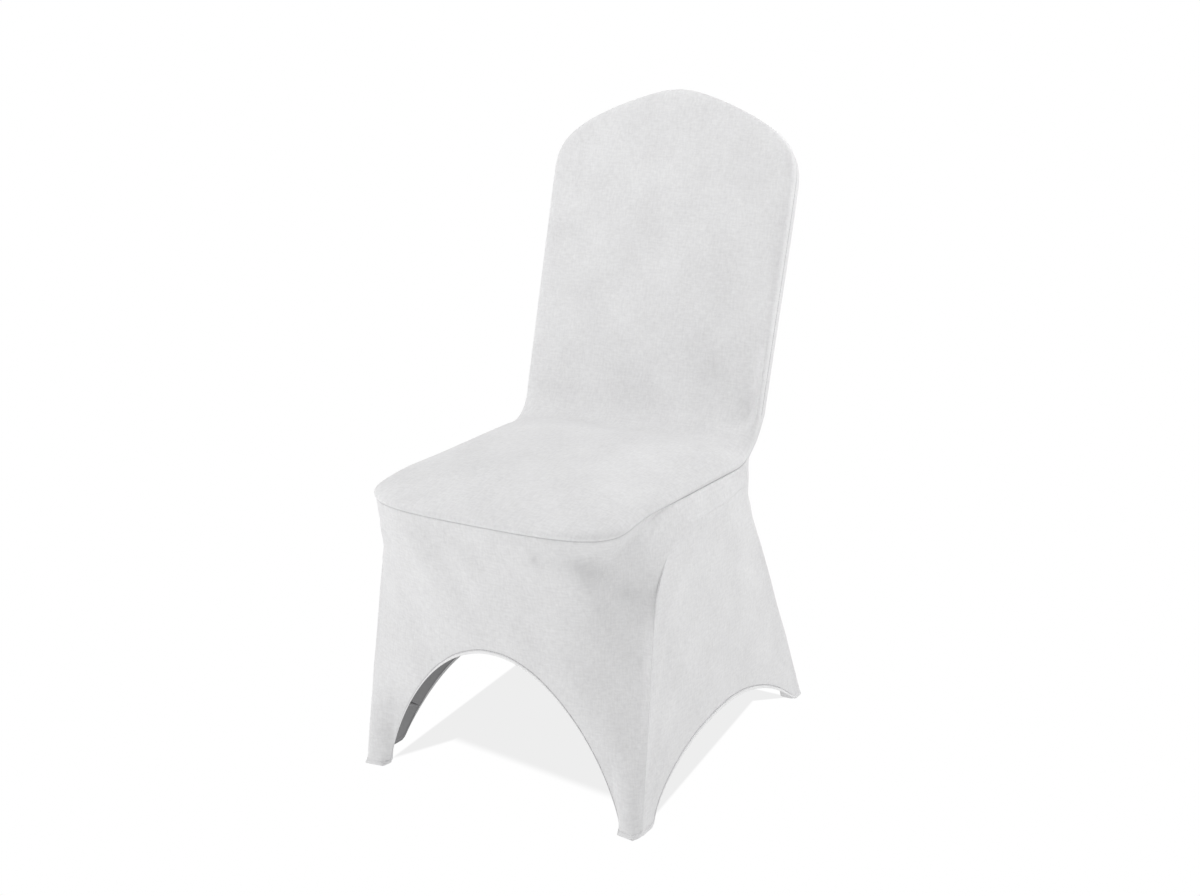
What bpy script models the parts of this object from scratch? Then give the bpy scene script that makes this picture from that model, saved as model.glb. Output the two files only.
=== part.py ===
"""Stretch cover for a crown-back banquet chair, as it stands pulled over the chair.

Frame: X to the right as seen from the front, Y to the rear, Z up, metres.
The origin is on the floor, under the middle of the cover.
"""

import math

import bpy
import numpy as np

# Cloth
WHITE = (0.80, 0.80, 0.81)
SHEET = 0.002            # thickness of the hemmed stretch cloth
SEAM = 0.00018           # half of the gap left at each seam
LIP_GAP = 0.0010         # gap under the rolled edge, where the two pieces meet at an angle
RIDGE_MITRE = 0.0029     # each piece stops this far from the ridge, so their backs clear
LEG_MITRE = 0.0022       # the same at the corner of the rear leg

# Seat
LIP_Y = -0.2905          # front of the rolled edge, at the middle
SEAT_Z = 0.4475          # level from which the seat is measured
SEAT_CROWN = 0.0130      # rise of the padded middle above the edge of the face
FRONT_DROOP = 0.0135     # the seat rolls down towards its front
DROOP_LENGTH = 0.135
SEAT_REAR_RISE = 0.009   # the rolled edge is plumper towards the back
SEAT_HALF = 0.197
CORNER_DEPTH = 0.080     # how far back the rounded front corners reach
CORNER_POWER = 3.1

# Back
LEAN = math.radians(15.04)
FOOT_OF_BACK_Y = 0.1261  # where the back's front plane meets the seat's level
FILLET = 0.050           # soft bend from the seat into the back
BACK_HALF = 0.1988
SHOULDER_HALF = 0.2010
WIDEST_Z = 0.79          # level at which the back reaches its full width
PEAK_Z = 0.9365
CROWN_SLOPE = 0.36
CROWN_SOFT = 0.015
SHOULDER_DEPTH = 0.082
SHOULDER_POWER = 4.0
BACK_TAPER = 0.002       # the rear of the back is narrower by this much at its foot
CROWN_ROLL = 0.0063      # the rear edge sits this much lower along the crown

# Legs under the cloth
FRONT_FOOT_OUT = 0.2245
FRONT_LEG_IN = 0.041     # inward lean of the outer plane for each metre up
RIDGE_FOOT_Y = -0.2375
RIDGE_CORNER = (-0.171, 0.382)
RIDGE_BEND = 0.115
RAIL_END = (0.1985, 0.1135, 0.388)
REAR_FOOT_Y = 0.2935
REAR_FOOT_OUT = 0.217
HEM_Z = 0.0012
LEG_INSIDE = (0.1932, -0.2490)   # x and y of the two corners of the cloth round a front foot
LEG_FRONT = (0.2190, -0.2525)
# Hems
FRONT_ARCH_HALF = 0.1905
FRONT_ARCH_Z = 0.212
FRONT_ARCH_Y = -0.2480    # the hem runs back round the inside of each leg
FRONT_HEM_FOOT_Y = -0.2340
FRONT_ARCH_FULL = 0.74    # below 1 the arch is fuller than a parabola
HEM_TURN = 0.181          # from here the hem runs down the inside of the leg
SIDE_ARCH_Z = 0.0885
SIDE_ARCH_TOP_Y = 0.020
SIDE_ARCH_FRONT_Y = -0.205
SIDE_ARCH_REAR_Y = 0.268
SIDE_ARCH_FRONT_FULL = 0.60
SIDE_ARCH_REAR_FULL = 1.0
REAR_ARCH_HALF = 0.180
REAR_ARCH_Z = 0.200
REAR_ARCH_Y = 0.226

REAR_DRAW_FROM = 0.30    # share of the rear's half width from which its sides are drawn in

# Foot pockets
POCKET_SIDE = 0.0225
FRONT_POCKET = (0.2060, -0.2338, 0.174)   # x, y and lean back for each metre up
REAR_POCKET = (0.2021, 0.2780, -0.45)
POCKET_HIGH = 0.030
POCKET_WALL = 0.0015
POCKET_CORNER = 0.004

# Grid sizes
COLUMNS = 12             # across the seat and the back
FRONT_EDGE_HALF = 0.158  # the rows across end here at the front of the seat
CROWN_EDGE_HALF = 0.166  # and here at the crown
BACK_ROWS = 11
ARCH_POINTS = 13         # along the front hem, from the middle to the leg
BEND_POINTS = 8          # where the hem turns down the leg
FOOT_POINTS = 3          # across the front of the foot
LEG_POINTS = 12          # down each front leg
RAIL_POINTS = 18         # along each seat rail and side hem

# Rolled edge: each row is the distance in from the widest line and the distance
# below the face, for the seat and for the back
EDGE_ROWS = (
    # seat_in, seat_down, back_in, back_down
    (0.0450, 0.0105, 0.0150, 0.0000),
    (0.0220, 0.0135, 0.0055, 0.0022),
    (0.0090, 0.0168, 0.0014, 0.0062),
    (0.0020, 0.0205, 0.0000, 0.0110),
    (0.0000, 0.0248, 0.0000, 0.0162),
    (0.0030, 0.0300, 0.0002, 0.0212),
)

# Rear edge of the back: distance in from the widest line and depth from the front face
REAR_EDGE_ROWS = (
    # inward, depth
    (0.0220, 0.0450),
    (0.0100, 0.0432),
    (0.0030, 0.0385),
    (0.0006, 0.0310),
    (0.0002, 0.0216),
)

# Rear leg line, outer corner of the raked leg
REAR_LEG_ROWS = (
    # x, y, z
    (0.1975, 0.1190, 0.360),
    (0.1995, 0.1355, 0.333),
    (0.2040, 0.1592, 0.281),
    (0.2070, 0.1852, 0.228),
    (0.2095, 0.2100, 0.174),
    (0.2120, 0.2398, 0.117),
    (0.2140, 0.2665, 0.060),
    (REAR_FOOT_OUT, REAR_FOOT_Y, HEM_Z),
)

# Soft troughs and ridges pulled into the cloth: ends of the line, half width and depth
FRONT_FOLDS = (
    # x0, z0, x1, z1, half_width, depth
    (0.060, 0.372, 0.180, 0.378, 0.009, 0.0035),
    (0.140, 0.350, 0.192, 0.362, 0.022, 0.0060),
    (-0.185, 0.388, -0.110, 0.378, 0.010, 0.0022),
    (-0.060, 0.235, 0.060, 0.235, 0.018, -0.0030),
)
BACK_FOLDS = (
    # x0, t0, x1, t1, half_width, depth
    (0.070, 0.560, 0.185, 0.515, 0.026, 0.0050),
    (0.120, 0.485, 0.188, 0.470, 0.016, -0.0035),
    (-0.180, 0.490, -0.100, 0.465, 0.020, 0.0025),
)


def smooth(value, low, high):
    """Smooth step from 0 at low to 1 at high."""
    x = np.clip((value - low) / (high - low), 0.0, 1.0)
    return x * x * (3.0 - 2.0 * x)


# Spine of the seat and the back, measured as a length from the front lip
TANGENT = FILLET * math.tan((math.pi / 2 - LEAN) / 2)
T_FILLET = FOOT_OF_BACK_Y - TANGENT - LIP_Y
T_BACK = T_FILLET + FILLET * (math.pi / 2 - LEAN)
BACK_START = (FOOT_OF_BACK_Y + TANGENT * math.sin(LEAN), SEAT_Z + TANGENT * math.cos(LEAN))
T_PEAK = T_BACK + (PEAK_Z - BACK_START[1]) / math.cos(LEAN)
T_WIDE_BACK = T_BACK + (WIDEST_Z - BACK_START[1]) / math.cos(LEAN)


def spine(t):
    """Place and outward normal of the seat and back at a length along the spine."""
    if t < T_FILLET:
        droop = FRONT_DROOP * (1.0 - smooth(t, 0.0, DROOP_LENGTH))
        return LIP_Y + t, SEAT_Z - droop, 0.0, 1.0
    if t < T_BACK:
        turn = (t - T_FILLET) / FILLET
        y = LIP_Y + T_FILLET + FILLET * math.sin(turn)
        z = SEAT_Z + FILLET * (1.0 - math.cos(turn))
        return y, z, -math.sin(turn), math.cos(turn)
    run = t - T_BACK
    y = BACK_START[0] + run * math.sin(LEAN)
    z = BACK_START[1] + run * math.cos(LEAN)
    return y, z, -math.cos(LEAN), math.sin(LEAN)


def lift(s, t, down):
    """Point at s across and t along, a distance below the face."""
    y, z, ny, nz = spine(t)
    return np.array((s, y - ny * down, z - nz * down))


def half_width(t):
    """Half width of the widest line at a length along the spine."""
    return float(np.interp(t, (T_FILLET, T_BACK, T_WIDE_BACK), (SEAT_HALF, BACK_HALF, SHOULDER_HALF)))


def taper(t):
    """How much narrower the back's edge is behind its face, lower down."""
    rise = smooth(t, T_BACK - 0.03, T_WIDE_BACK)
    return BACK_TAPER * (1.0 - rise) * smooth(t, T_FILLET - 0.01, T_BACK)


def outline():
    """Widest line of the seat and back, right half, as (s, t) from front to peak."""
    points = []
    for angle in np.linspace(0.0, math.pi / 2, 33):
        s = SEAT_HALF * math.sin(angle) ** (2 / CORNER_POWER)
        t = CORNER_DEPTH * (1.0 - max(math.cos(angle), 0.0) ** (2 / CORNER_POWER))
        points.append((s, t))
    shoulder_t = T_PEAK - (math.hypot(CROWN_SLOPE * SHOULDER_HALF, CROWN_SOFT) - CROWN_SOFT
                           + SHOULDER_DEPTH) / math.cos(LEAN)
    for t in np.linspace(CORNER_DEPTH, shoulder_t, 41)[1:-1]:
        points.append((half_width(t), t))
    for angle in np.linspace(math.pi / 2, 0.0, 41):
        s = SHOULDER_HALF * math.sin(angle) ** (2 / SHOULDER_POWER)
        drop = math.hypot(CROWN_SLOPE * s, CROWN_SOFT) - CROWN_SOFT
        drop += SHOULDER_DEPTH * (1.0 - max(math.cos(angle), 0.0) ** (2 / SHOULDER_POWER))
        points.append((s, T_PEAK - drop / math.cos(LEAN)))
    return np.array(points)


def lengths(path):
    """Running length along a path."""
    steps = np.linalg.norm(np.diff(path, axis=0), axis=1)
    return np.concatenate(((0.0,), np.cumsum(steps)))


def along(path, start, end, count):
    """Points evenly spaced along part of a path, given as lengths."""
    run = lengths(path)
    wanted = np.linspace(start, end, count)
    return np.stack([np.interp(wanted, run, path[:, k]) for k in range(path.shape[1])], axis=1)


def whole(path, count):
    """Points evenly spaced along a whole path."""
    return along(path, 0.0, lengths(path)[-1], count)


def coons(bottom, top, left, right):
    """Grid of points between four edges; left and right run from bottom to top."""
    rows = len(left)
    cols = len(bottom)
    u = np.linspace(0.0, 1.0, cols)[None, :, None]
    v = np.linspace(0.0, 1.0, rows)[:, None, None]
    ruled = (1 - v) * bottom[None] + v * top[None] + (1 - u) * left[:, None] + u * right[:, None]
    corners = (1 - u) * (1 - v) * bottom[0] + u * (1 - v) * bottom[-1]
    corners = corners + (1 - u) * v * top[0] + u * v * top[-1]
    return ruled - corners


def flip_x(points):
    """The same points mirrored to the other side."""
    return points * np.array([-1.0] + [1.0] * (points.shape[1] - 1))


def fold_depth(across, up, folds):
    """Depth of the soft troughs at a place."""
    total = 0.0
    for a0, b0, a1, b1, half, depth in folds:
        da, db = a1 - a0, b1 - b0
        share = ((across - a0) * da + (up - b0) * db) / (da * da + db * db)
        near = min(max(share, 0.0), 1.0)
        away = math.hypot(across - a0 - near * da, up - b0 - near * db)
        total += depth * math.exp(-((away / half) ** 2))
    return total


# Rim of the seat and back panel, all the way round, as (s, t, outward s, outward t)
HALF_LINE = outline()
RUN = lengths(HALF_LINE)
FRONT_RUN = float(np.interp(FRONT_EDGE_HALF, HALF_LINE[:33, 0], RUN[:33]))
FROM_PEAK = (RUN[-1] - RUN)[::-1]
TOP_RUN = RUN[-1] - float(np.interp(CROWN_EDGE_HALF, HALF_LINE[::-1][:41, 0], FROM_PEAK[:41]))


def with_normals(run):
    """Rim points at given lengths from the front, with their outward directions."""
    here = np.stack([np.interp(run, RUN, HALF_LINE[:, k]) for k in (0, 1)], axis=1)
    ahead = np.stack([np.interp(run + 0.004, RUN, HALF_LINE[:, k]) for k in (0, 1)], axis=1)
    behind = np.stack([np.interp(run - 0.004, RUN, HALF_LINE[:, k]) for k in (0, 1)], axis=1)
    tangent = ahead - behind
    middle = (here[:, 0] < 0.002)
    tangent[middle, 1] = 0.0
    tangent /= np.linalg.norm(tangent, axis=1)[:, None]
    return np.concatenate((here, tangent[:, 1:2], -tangent[:, 0:1]), axis=1)


def side_runs():
    """Lengths of the rows down one side: close together at the corners and the bend."""
    lower = np.linspace(FRONT_RUN, FRONT_RUN + 0.10, 6)
    bend_start = float(np.interp(T_FILLET - 0.01, HALF_LINE[33:74, 1], RUN[33:74]))
    bend_end = float(np.interp(T_BACK + 0.01, HALF_LINE[33:74, 1], RUN[33:74]))
    middle = np.linspace(FRONT_RUN + 0.10, bend_start, 6)[1:]
    bend = np.linspace(bend_start, bend_end, 6)[1:]
    upper = np.linspace(bend_end, TOP_RUN - 0.10, 7)[1:]
    shoulder = np.linspace(TOP_RUN - 0.10, TOP_RUN, 6)[1:]
    return np.concatenate((lower, middle, bend, upper, shoulder))


FRONT_RIM = with_normals(np.linspace(0.0, FRONT_RUN, COLUMNS // 2 + 1))
SIDE_RIM = with_normals(side_runs())
TOP_RIM = with_normals(np.linspace(TOP_RUN, RUN[-1], COLUMNS // 2 + 1))


def mirror_rim(rim):
    """The rim points on the left side."""
    return rim * np.array((-1.0, 1.0, -1.0, 1.0))


def edge_point(rim, row):
    """Point of the rolled edge on one of its rows, as (s, t, down)."""
    s, t, out_s, out_t = rim
    seat_in, seat_down, back_in, back_down = EDGE_ROWS[row]
    share = float(smooth(t, T_FILLET - 0.005, T_BACK + 0.005))
    inward = seat_in + (back_in - seat_in) * share
    down = seat_down + (back_down - seat_down) * share
    plump = float(smooth(t, 0.12, T_FILLET)) * (1.0 - row / (len(EDGE_ROWS) - 1))
    down -= SEAT_REAR_RISE * plump * (1.0 - share)
    inward += taper(t) * (max(down, 0.0) / EDGE_ROWS[-1][3]) ** 1.5
    return s - out_s * inward, t - out_t * inward, down


def rear_edge_point(rim, row):
    """Point of the back's rear edge on one of its rows, as (s, t, depth)."""
    s, t, out_s, out_t = rim
    inward, depth = REAR_EDGE_ROWS[row]
    roll = smooth(depth, REAR_EDGE_ROWS[-1][1] - 0.004, REAR_EDGE_ROWS[-2][1] + 0.002)
    inward += taper(t) + CROWN_ROLL * max(out_t, 0.0) * roll
    return s - out_s * inward, t - out_t * inward, depth


def face_grid(front, side, top, edge):
    """Grid of (s, t) inside a rim; front is None where the face is open below."""
    right = np.array([edge(r, 0)[:2] for r in side])
    upper = np.array([edge(r, 0)[:2] for r in top])
    top_row = np.concatenate((flip_x(upper), upper[::-1][1:]))
    if front is None:
        bottom_row = np.stack((np.linspace(-right[0, 0], right[0, 0], COLUMNS + 1),
                               np.full(COLUMNS + 1, right[0, 1])), axis=1)
    else:
        lower = np.array([edge(r, 0)[:2] for r in front])
        bottom_row = np.concatenate((flip_x(lower)[::-1], lower[1:]))
    return coons(bottom_row, top_row, flip_x(right), right)


def closed_path(front, side, top):
    """Rim points in order: along the front, up the right side, back along the top, down."""
    path = [mirror_rim(r) for r in front[::-1]] + list(front[1:])
    path += list(side[1:])
    path += list(top[1:])
    path += [mirror_rim(r) for r in top[::-1][1:]]
    path += [mirror_rim(r) for r in side[::-1][1:-1]]
    return path


def cloth_material(name, roughness):
    """Plain white knitted cloth."""
    material = bpy.data.materials.new(name)
    material.use_nodes = True
    shader = material.node_tree.nodes["Principled BSDF"]
    shader.inputs["Base Color"].default_value = (*WHITE, 1.0)
    shader.inputs["Roughness"].default_value = roughness
    shader.inputs["Metallic"].default_value = 0.0
    material.diffuse_color = (*WHITE, 1.0)
    return material


def add_sheet(collection, name, points, faces, material, thickness=SHEET):
    """One cut piece: an open surface thickened inwards."""
    mesh = bpy.data.meshes.new(name)
    mesh.from_pydata([tuple(p) for p in points], [], faces)
    mesh.validate()
    mesh.shade_smooth()
    piece = bpy.data.objects.new(name, mesh)
    collection.objects.link(piece)
    mesh.materials.append(material)
    solid = piece.modifiers.new("Cloth", "SOLIDIFY")
    solid.thickness = thickness
    solid.offset = -1.0
    solid.use_even_offset = True
    return piece


def grid_faces(rows, cols, first=0):
    """Quads of a grid whose points run row by row."""
    quads = []
    for j in range(rows - 1):
        for i in range(cols - 1):
            a = first + j * cols + i
            quads.append((a, a + 1, a + cols + 1, a + cols))
    return quads


def trim(grid, bottom=SEAM, top=SEAM, left=SEAM, right=SEAM):
    """Draw the four edges of a grid in towards its middle by small amounts."""
    grid = grid.copy()
    edges = ((grid[0], grid[1], bottom), (grid[-1], grid[-2], top),
             (grid[:, 0], grid[:, 1], left), (grid[:, -1], grid[:, -2], right))
    for edge, inner, amount in edges:
        step = inner - edge
        size = np.linalg.norm(step, axis=1)[:, None]
        edge += step / np.maximum(size, 1e-9) * amount
    return grid


def face_point(s, t):
    """Point of the seat and back face, with its crown and its soft folds."""
    across = max(0.0, 1.0 - (s / 0.170) ** 2)
    seat_run = smooth(t, 0.03, 0.14) * (1.0 - smooth(t, T_FILLET - 0.06, T_FILLET + 0.02))
    back_run = smooth(t, T_BACK, T_BACK + 0.15) * (1.0 - smooth(t, T_PEAK - 0.20, T_PEAK - 0.03))
    share = smooth(t, T_FILLET - 0.005, T_BACK + 0.005)
    sunk = (EDGE_ROWS[0][1] - SEAT_REAR_RISE * smooth(t, 0.12, T_FILLET)) * (1.0 - share)
    rise = SEAT_CROWN * across ** 0.8 * seat_run + 0.004 * across * back_run
    return lift(s, t, sunk + fold_depth(s, t, BACK_FOLDS) - rise)


def build_seat_and_back(collection, material):
    """Seat top and inside back, cut in one length with a rolled edge all round."""
    grid = face_grid(FRONT_RIM, SIDE_RIM, TOP_RIM, edge_point)
    rows, cols = grid.shape[:2]
    points = [face_point(s, t) for s, t in grid.reshape(-1, 2)]
    faces = grid_faces(rows, cols)
    ring = [i for i in range(cols)]
    ring += [j * cols + cols - 1 for j in range(1, rows)]
    ring += [(rows - 1) * cols + i for i in range(cols - 2, -1, -1)]
    ring += [j * cols for j in range(rows - 2, 0, -1)]
    path = closed_path(FRONT_RIM, SIDE_RIM, TOP_RIM)
    for row in range(1, len(EDGE_ROWS)):
        start = len(points)
        for rim in path:
            s, t, down = edge_point(rim, row)
            if row == len(EDGE_ROWS) - 1:
                down -= SEAM
            points.append(lift(s, t, down))
        outer = list(range(start, start + len(path)))
        for k in range(len(path)):
            n = (k + 1) % len(path)
            faces.append((ring[k], outer[k], outer[n], ring[n]))
        ring = outer
    return add_sheet(collection, "seat_and_inside_back", points, faces, material)


def seam_of_seat():
    """Lower edge of the seat and back panel, right half, from the front to the peak."""
    rims = with_normals(np.linspace(0.0, RUN[-1], 240))
    return np.array([lift(*edge_point(r, len(EDGE_ROWS) - 1)) for r in rims])


SEAM_LINE = seam_of_seat()
JOIN = int(np.argmin(np.abs(SEAM_LINE[:150, 1] - (RAIL_END[1] - 0.001))))


def ridge():
    """Bent leg tube under the cloth, from the front foot up and back along the seat rail."""
    foot = np.array((RIDGE_FOOT_Y, HEM_Z))
    corner = np.array(RIDGE_CORNER)
    end = np.array(RAIL_END[1:])
    into = (corner - foot) / np.linalg.norm(corner - foot)
    away = (end - corner) / np.linalg.norm(end - corner)
    turn = math.acos(float(np.dot(into, away)))
    reach = RIDGE_BEND * math.tan(turn / 2)
    centre = corner - into * reach + np.array((into[1], -into[0])) * RIDGE_BEND
    first = corner - into * reach - centre
    path = [foot + (corner - into * reach - foot) * k / 12 for k in range(12)]
    for angle in np.linspace(0.0, -turn, 13):
        c, s = math.cos(angle), math.sin(angle)
        path.append(centre + np.array((c * first[0] - s * first[1], s * first[0] + c * first[1])))
    start = path[-1]
    path += [start + (end - start) * k / 12 for k in range(1, 13)]
    path = np.array(path)
    outer = FRONT_FOOT_OUT - FRONT_LEG_IN * path[:, 1]
    fade = smooth(path[:, 0], 0.02, RAIL_END[1])
    outer = outer + (RAIL_END[0] - outer) * fade
    return np.column_stack((outer, path))


RIDGE = ridge()


def arch(half, top, count):
    """Half widths and heights of an arched hem from its middle to its foot."""
    across = half * np.sin(np.linspace(0.0, math.pi / 2, count))
    share = np.clip(1.0 - (across / half) ** 2, 0.0, 1.0)
    return across, np.maximum(top * share ** FRONT_ARCH_FULL, HEM_Z)


def front_lower_edge():
    """Front hem from the middle to the foot, then round the foot."""
    across, height = arch(FRONT_ARCH_HALF, FRONT_ARCH_Z, 40)
    depth = FRONT_ARCH_Y + (FRONT_HEM_FOOT_Y - FRONT_ARCH_Y) * (across / FRONT_ARCH_HALF) ** 2
    return np.column_stack((across, depth, height))


def nearest(path, axis, value):
    """Length along a path at which one coordinate first reaches a value."""
    run = lengths(path)
    cross = np.nonzero(np.diff(np.sign(path[:, axis] - value)))[0]
    k = cross[0]
    share = (value - path[k, axis]) / (path[k + 1, axis] - path[k, axis])
    return run[k] + share * (run[k + 1] - run[k])


FRONT_SEAM_Y, FRONT_SEAM_Z = SEAM_LINE[0, 1], SEAM_LINE[0, 2]

# The same points of the ridge serve the front skirt and the side panel
RIDGE_TURN = nearest(RIDGE, 2, 0.36)
LEG_PART = along(RIDGE, 0.0, RIDGE_TURN, LEG_POINTS)
RAIL_PART = along(RIDGE, RIDGE_TURN, lengths(RIDGE)[-1], RAIL_POINTS)


SKIRT_ROWS = np.array((0.0, 0.03, 0.07, 0.11, 0.16, 0.26, 0.42, 0.60, 0.80, 1.0))

FRONT_HEM = front_lower_edge()

# Places on the seat's seam that match the ends of the runs below, as axis and value
SKIRT_CUTS = ((0, 0.152), (0, 0.176), (0, 0.184), (1, -0.145))

# Level section of the cloth in front of a leg: how fast it curves back towards the ridge, and
# the levels between which it does
SWEEP_POWER = 2.7
SWEEP_LEVELS = (0.045, 0.120, 0.255, 0.370)

# How far the cloth falls inside a flat sheet: under the seat's corner, everywhere, and at the legs
UNDERCUT = 0.011
HOLLOW = 0.0025
LEG_HOLLOW = 0.0035


def skirt_edges():
    """Upper and lower edge of the front skirt, right half, as matched columns."""
    upper = SEAM_LINE[:JOIN + 1]
    hem = front_lower_edge()
    foot = np.array(((*LEG_INSIDE, HEM_Z), (*LEG_FRONT, HEM_Z), RIDGE[0]))
    hem_turn = nearest(hem, 0, HEM_TURN)
    tail = hem[hem[:, 0] > HEM_TURN]
    bend = np.concatenate((along(hem, hem_turn, hem_turn, 1), tail, foot[:2]))
    low = (along(hem, 0.0, hem_turn, ARCH_POINTS), whole(bend, BEND_POINTS),
           whole(foot[1:], FOOT_POINTS), LEG_PART, RAIL_PART)
    cuts = [0.0] + [nearest(upper, axis, value) for axis, value in SKIRT_CUTS] + [lengths(upper)[-1]]
    counts = (ARCH_POINTS, BEND_POINTS, FOOT_POINTS, LEG_POINTS, RAIL_POINTS)
    high = [along(upper, a, b, n) for a, b, n in zip(cuts[:-1], cuts[1:], counts)]
    top = np.concatenate([high[0]] + [part[1:] for part in high[1:]])
    bottom = np.concatenate([low[0]] + [part[1:] for part in low[1:]])
    return top, bottom


def swept(point):
    """The point moved back onto the smooth section from the hem to the leg's ridge."""
    x, y, z = abs(point[0]), point[1], point[2]
    low, low_end, high, high_end = SWEEP_LEVELS
    share = smooth(z, low, low_end) * (1.0 - smooth(z, high, high_end))
    ridge_x, ridge_y = [np.interp(z, LEG_PART[:, 2], LEG_PART[:, k]) for k in (0, 1)]
    if share <= 0.0 or y > ridge_y:
        return point
    hem_x, hem_y = [np.interp(z, FRONT_HEM[::-1, 2], FRONT_HEM[::-1, k]) for k in (0, 1)]
    above = max(z - FRONT_ARCH_Z, 0.0) / (FRONT_SEAM_Z - FRONT_ARCH_Z)
    start_y = hem_y + (FRONT_SEAM_Y - hem_y) * above
    across = min(max(x - hem_x, 0.0) / (ridge_x - hem_x), 1.0)
    wanted = start_y + (ridge_y - start_y) * across ** SWEEP_POWER
    return np.array((point[0], y + share * max(wanted - y, 0.0), z))


def skirt_point(high, low, row):
    """Point of the cloth stretched from the seat's seam to the ridge or the hem."""
    length = np.linalg.norm(low - high)
    even = row / (len(SKIRT_ROWS) - 1)
    v = even + (SKIRT_ROWS[row] - even) * smooth(length, 0.05, 0.20)
    point = swept(high + (low - high) * v)
    corner = smooth(abs(point[0]), 0.10, 0.19) * (1.0 - smooth(point[1], -0.22, -0.06))
    undercut = UNDERCUT * corner * math.exp(-(((v - 0.10) / 0.10) ** 2)) * smooth(v, 0.0, 0.08)
    hollow = (HOLLOW + LEG_HOLLOW * corner) * math.sin(math.pi * v) * min(1.0, length / 0.15)
    centre = np.array((0.0, -0.10, point[2]))
    inward = centre - point
    inward[2] = 0.0
    inward /= np.linalg.norm(inward)
    folds = fold_depth(point[0], point[2], FRONT_FOLDS) if point[1] < -0.20 else 0.0
    edge = math.sin(math.pi * v)
    return point + inward * (undercut + hollow + folds * min(1.0, 3.0 * edge))


def build_front_skirt(collection, material):
    """Skirt sewn under the seat: front arch, both front legs and the bands beside the seat."""
    top, bottom = skirt_edges()
    top = np.concatenate((flip_x(top)[::-1], top[1:]))
    bottom = np.concatenate((flip_x(bottom)[::-1], bottom[1:]))
    grid = np.array([[skirt_point(h, w, row) for h, w in zip(top, bottom)]
                     for row in range(len(SKIRT_ROWS))])
    grid = trim(grid, bottom=LIP_GAP, top=SEAM, left=SEAM, right=SEAM)
    ridge_from = len(top) // 2 + ARCH_POINTS + BEND_POINTS - 1
    for column in list(range(ridge_from, len(top))) + list(range(0, len(top) - ridge_from)):
        step = grid[-2, column] - grid[-1, column]
        grid[-1, column] += step / np.linalg.norm(step) * RIDGE_MITRE
    rows, cols = grid.shape[:2]
    grid = grid[::-1]
    return add_sheet(collection, "front_skirt", grid.reshape(-1, 3), grid_faces(rows, cols), material)


def side_hem(count):
    """Arched hem of a side panel, from the front foot to the rear foot."""
    path = [RIDGE[0]]
    front = SIDE_ARCH_TOP_Y - SIDE_ARCH_FRONT_Y
    rear = SIDE_ARCH_REAR_Y - SIDE_ARCH_TOP_Y
    for angle in np.linspace(0.0, math.pi, 49):
        share = -math.cos(angle)
        y = SIDE_ARCH_TOP_Y + share * (front if share < 0 else rear)
        full = SIDE_ARCH_FRONT_FULL if share < 0 else SIDE_ARCH_REAR_FULL
        z = SIDE_ARCH_Z * max(0.0, 1.0 - share * share) ** full
        path.append(np.array((0.0, y, max(z, HEM_Z))))
    path.append(np.array(REAR_LEG_ROWS[-1]))
    path = np.array(path)
    share = (path[:, 1] - RIDGE[0, 1]) / (REAR_FOOT_Y - RIDGE[0, 1])
    path[:, 0] = FRONT_FOOT_OUT + (REAR_FOOT_OUT - FRONT_FOOT_OUT) * share - 0.03 * path[:, 2]
    return whole(path, count)


REAR_LEG = np.array([RAIL_END] + list(REAR_LEG_ROWS))


def build_side_skirt(collection, name, side, material):
    """Flat side panel between the front leg, the seat rail, the rear leg and its hem."""
    right = whole(REAR_LEG[::-1], LEG_POINTS)
    grid = coons(side_hem(RAIL_POINTS), RAIL_PART, LEG_PART, right)
    grid = trim(grid, bottom=0.0, top=RIDGE_MITRE, left=RIDGE_MITRE, right=LEG_MITRE)
    rows, cols = grid.shape[:2]
    if side < 0:
        grid = flip_x(grid.reshape(-1, 3)).reshape(grid.shape)[:, ::-1]
    return add_sheet(collection, name, grid.reshape(-1, 3), grid_faces(rows, cols), material)


def rear_side_edge():
    """Edge of the outside back below the back: down the seat's corner, then the rear leg."""
    start = int(np.argmin(np.abs(SEAM_LINE[:, 2] - seam_start_height())))
    path = np.concatenate((SEAM_LINE[JOIN:start][::-1], REAR_LEG))
    return path


def seam_start_height():
    """Height at which the outside back stops following the back's edge."""
    return lift(*rear_edge_point(BACK_RIM[0], len(REAR_EDGE_ROWS) - 1))[2]


BACK_RIM = with_normals(np.linspace(
    float(np.interp(T_BACK + 0.004, HALF_LINE[33:74, 1], RUN[33:74])), TOP_RUN, BACK_ROWS))


def rear_lower_edge(cols):
    """Rear hem from the left foot over the arch to the right foot."""
    across, height = arch(REAR_ARCH_HALF, REAR_ARCH_Z, 40)
    depth = REAR_ARCH_Y + (REAR_FOOT_Y - 0.003 - REAR_ARCH_Y) * (across / REAR_ARCH_HALF) ** 1.6
    half = np.column_stack((across, depth, height))
    half = np.concatenate((half, np.array((REAR_LEG_ROWS[-1],))))
    half = whole(half, cols // 2 + 1)
    return np.concatenate((flip_x(half)[::-1], half[1:]))


def hung(top, bottom, right):
    """Rear cloth hung straight from one row to another, drawn in to a line at each side."""
    share = (right[0, 2] - right[:, 2]) / (right[0, 2] - right[-1, 2])
    across = np.linspace(-1.0, 1.0, len(top))
    reach = smooth(np.abs(across), REAR_DRAW_FROM, 1.0)[:, None]
    sides = np.where(across[:, None] < 0, np.array((-1.0, 1.0, 1.0)), 1.0)
    rows = []
    for part, edge in zip(share, right):
        row = top + (bottom - top) * part
        pull = edge - row[-1]
        rows.append(row + reach * sides * pull)
    return np.array(rows)


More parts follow.
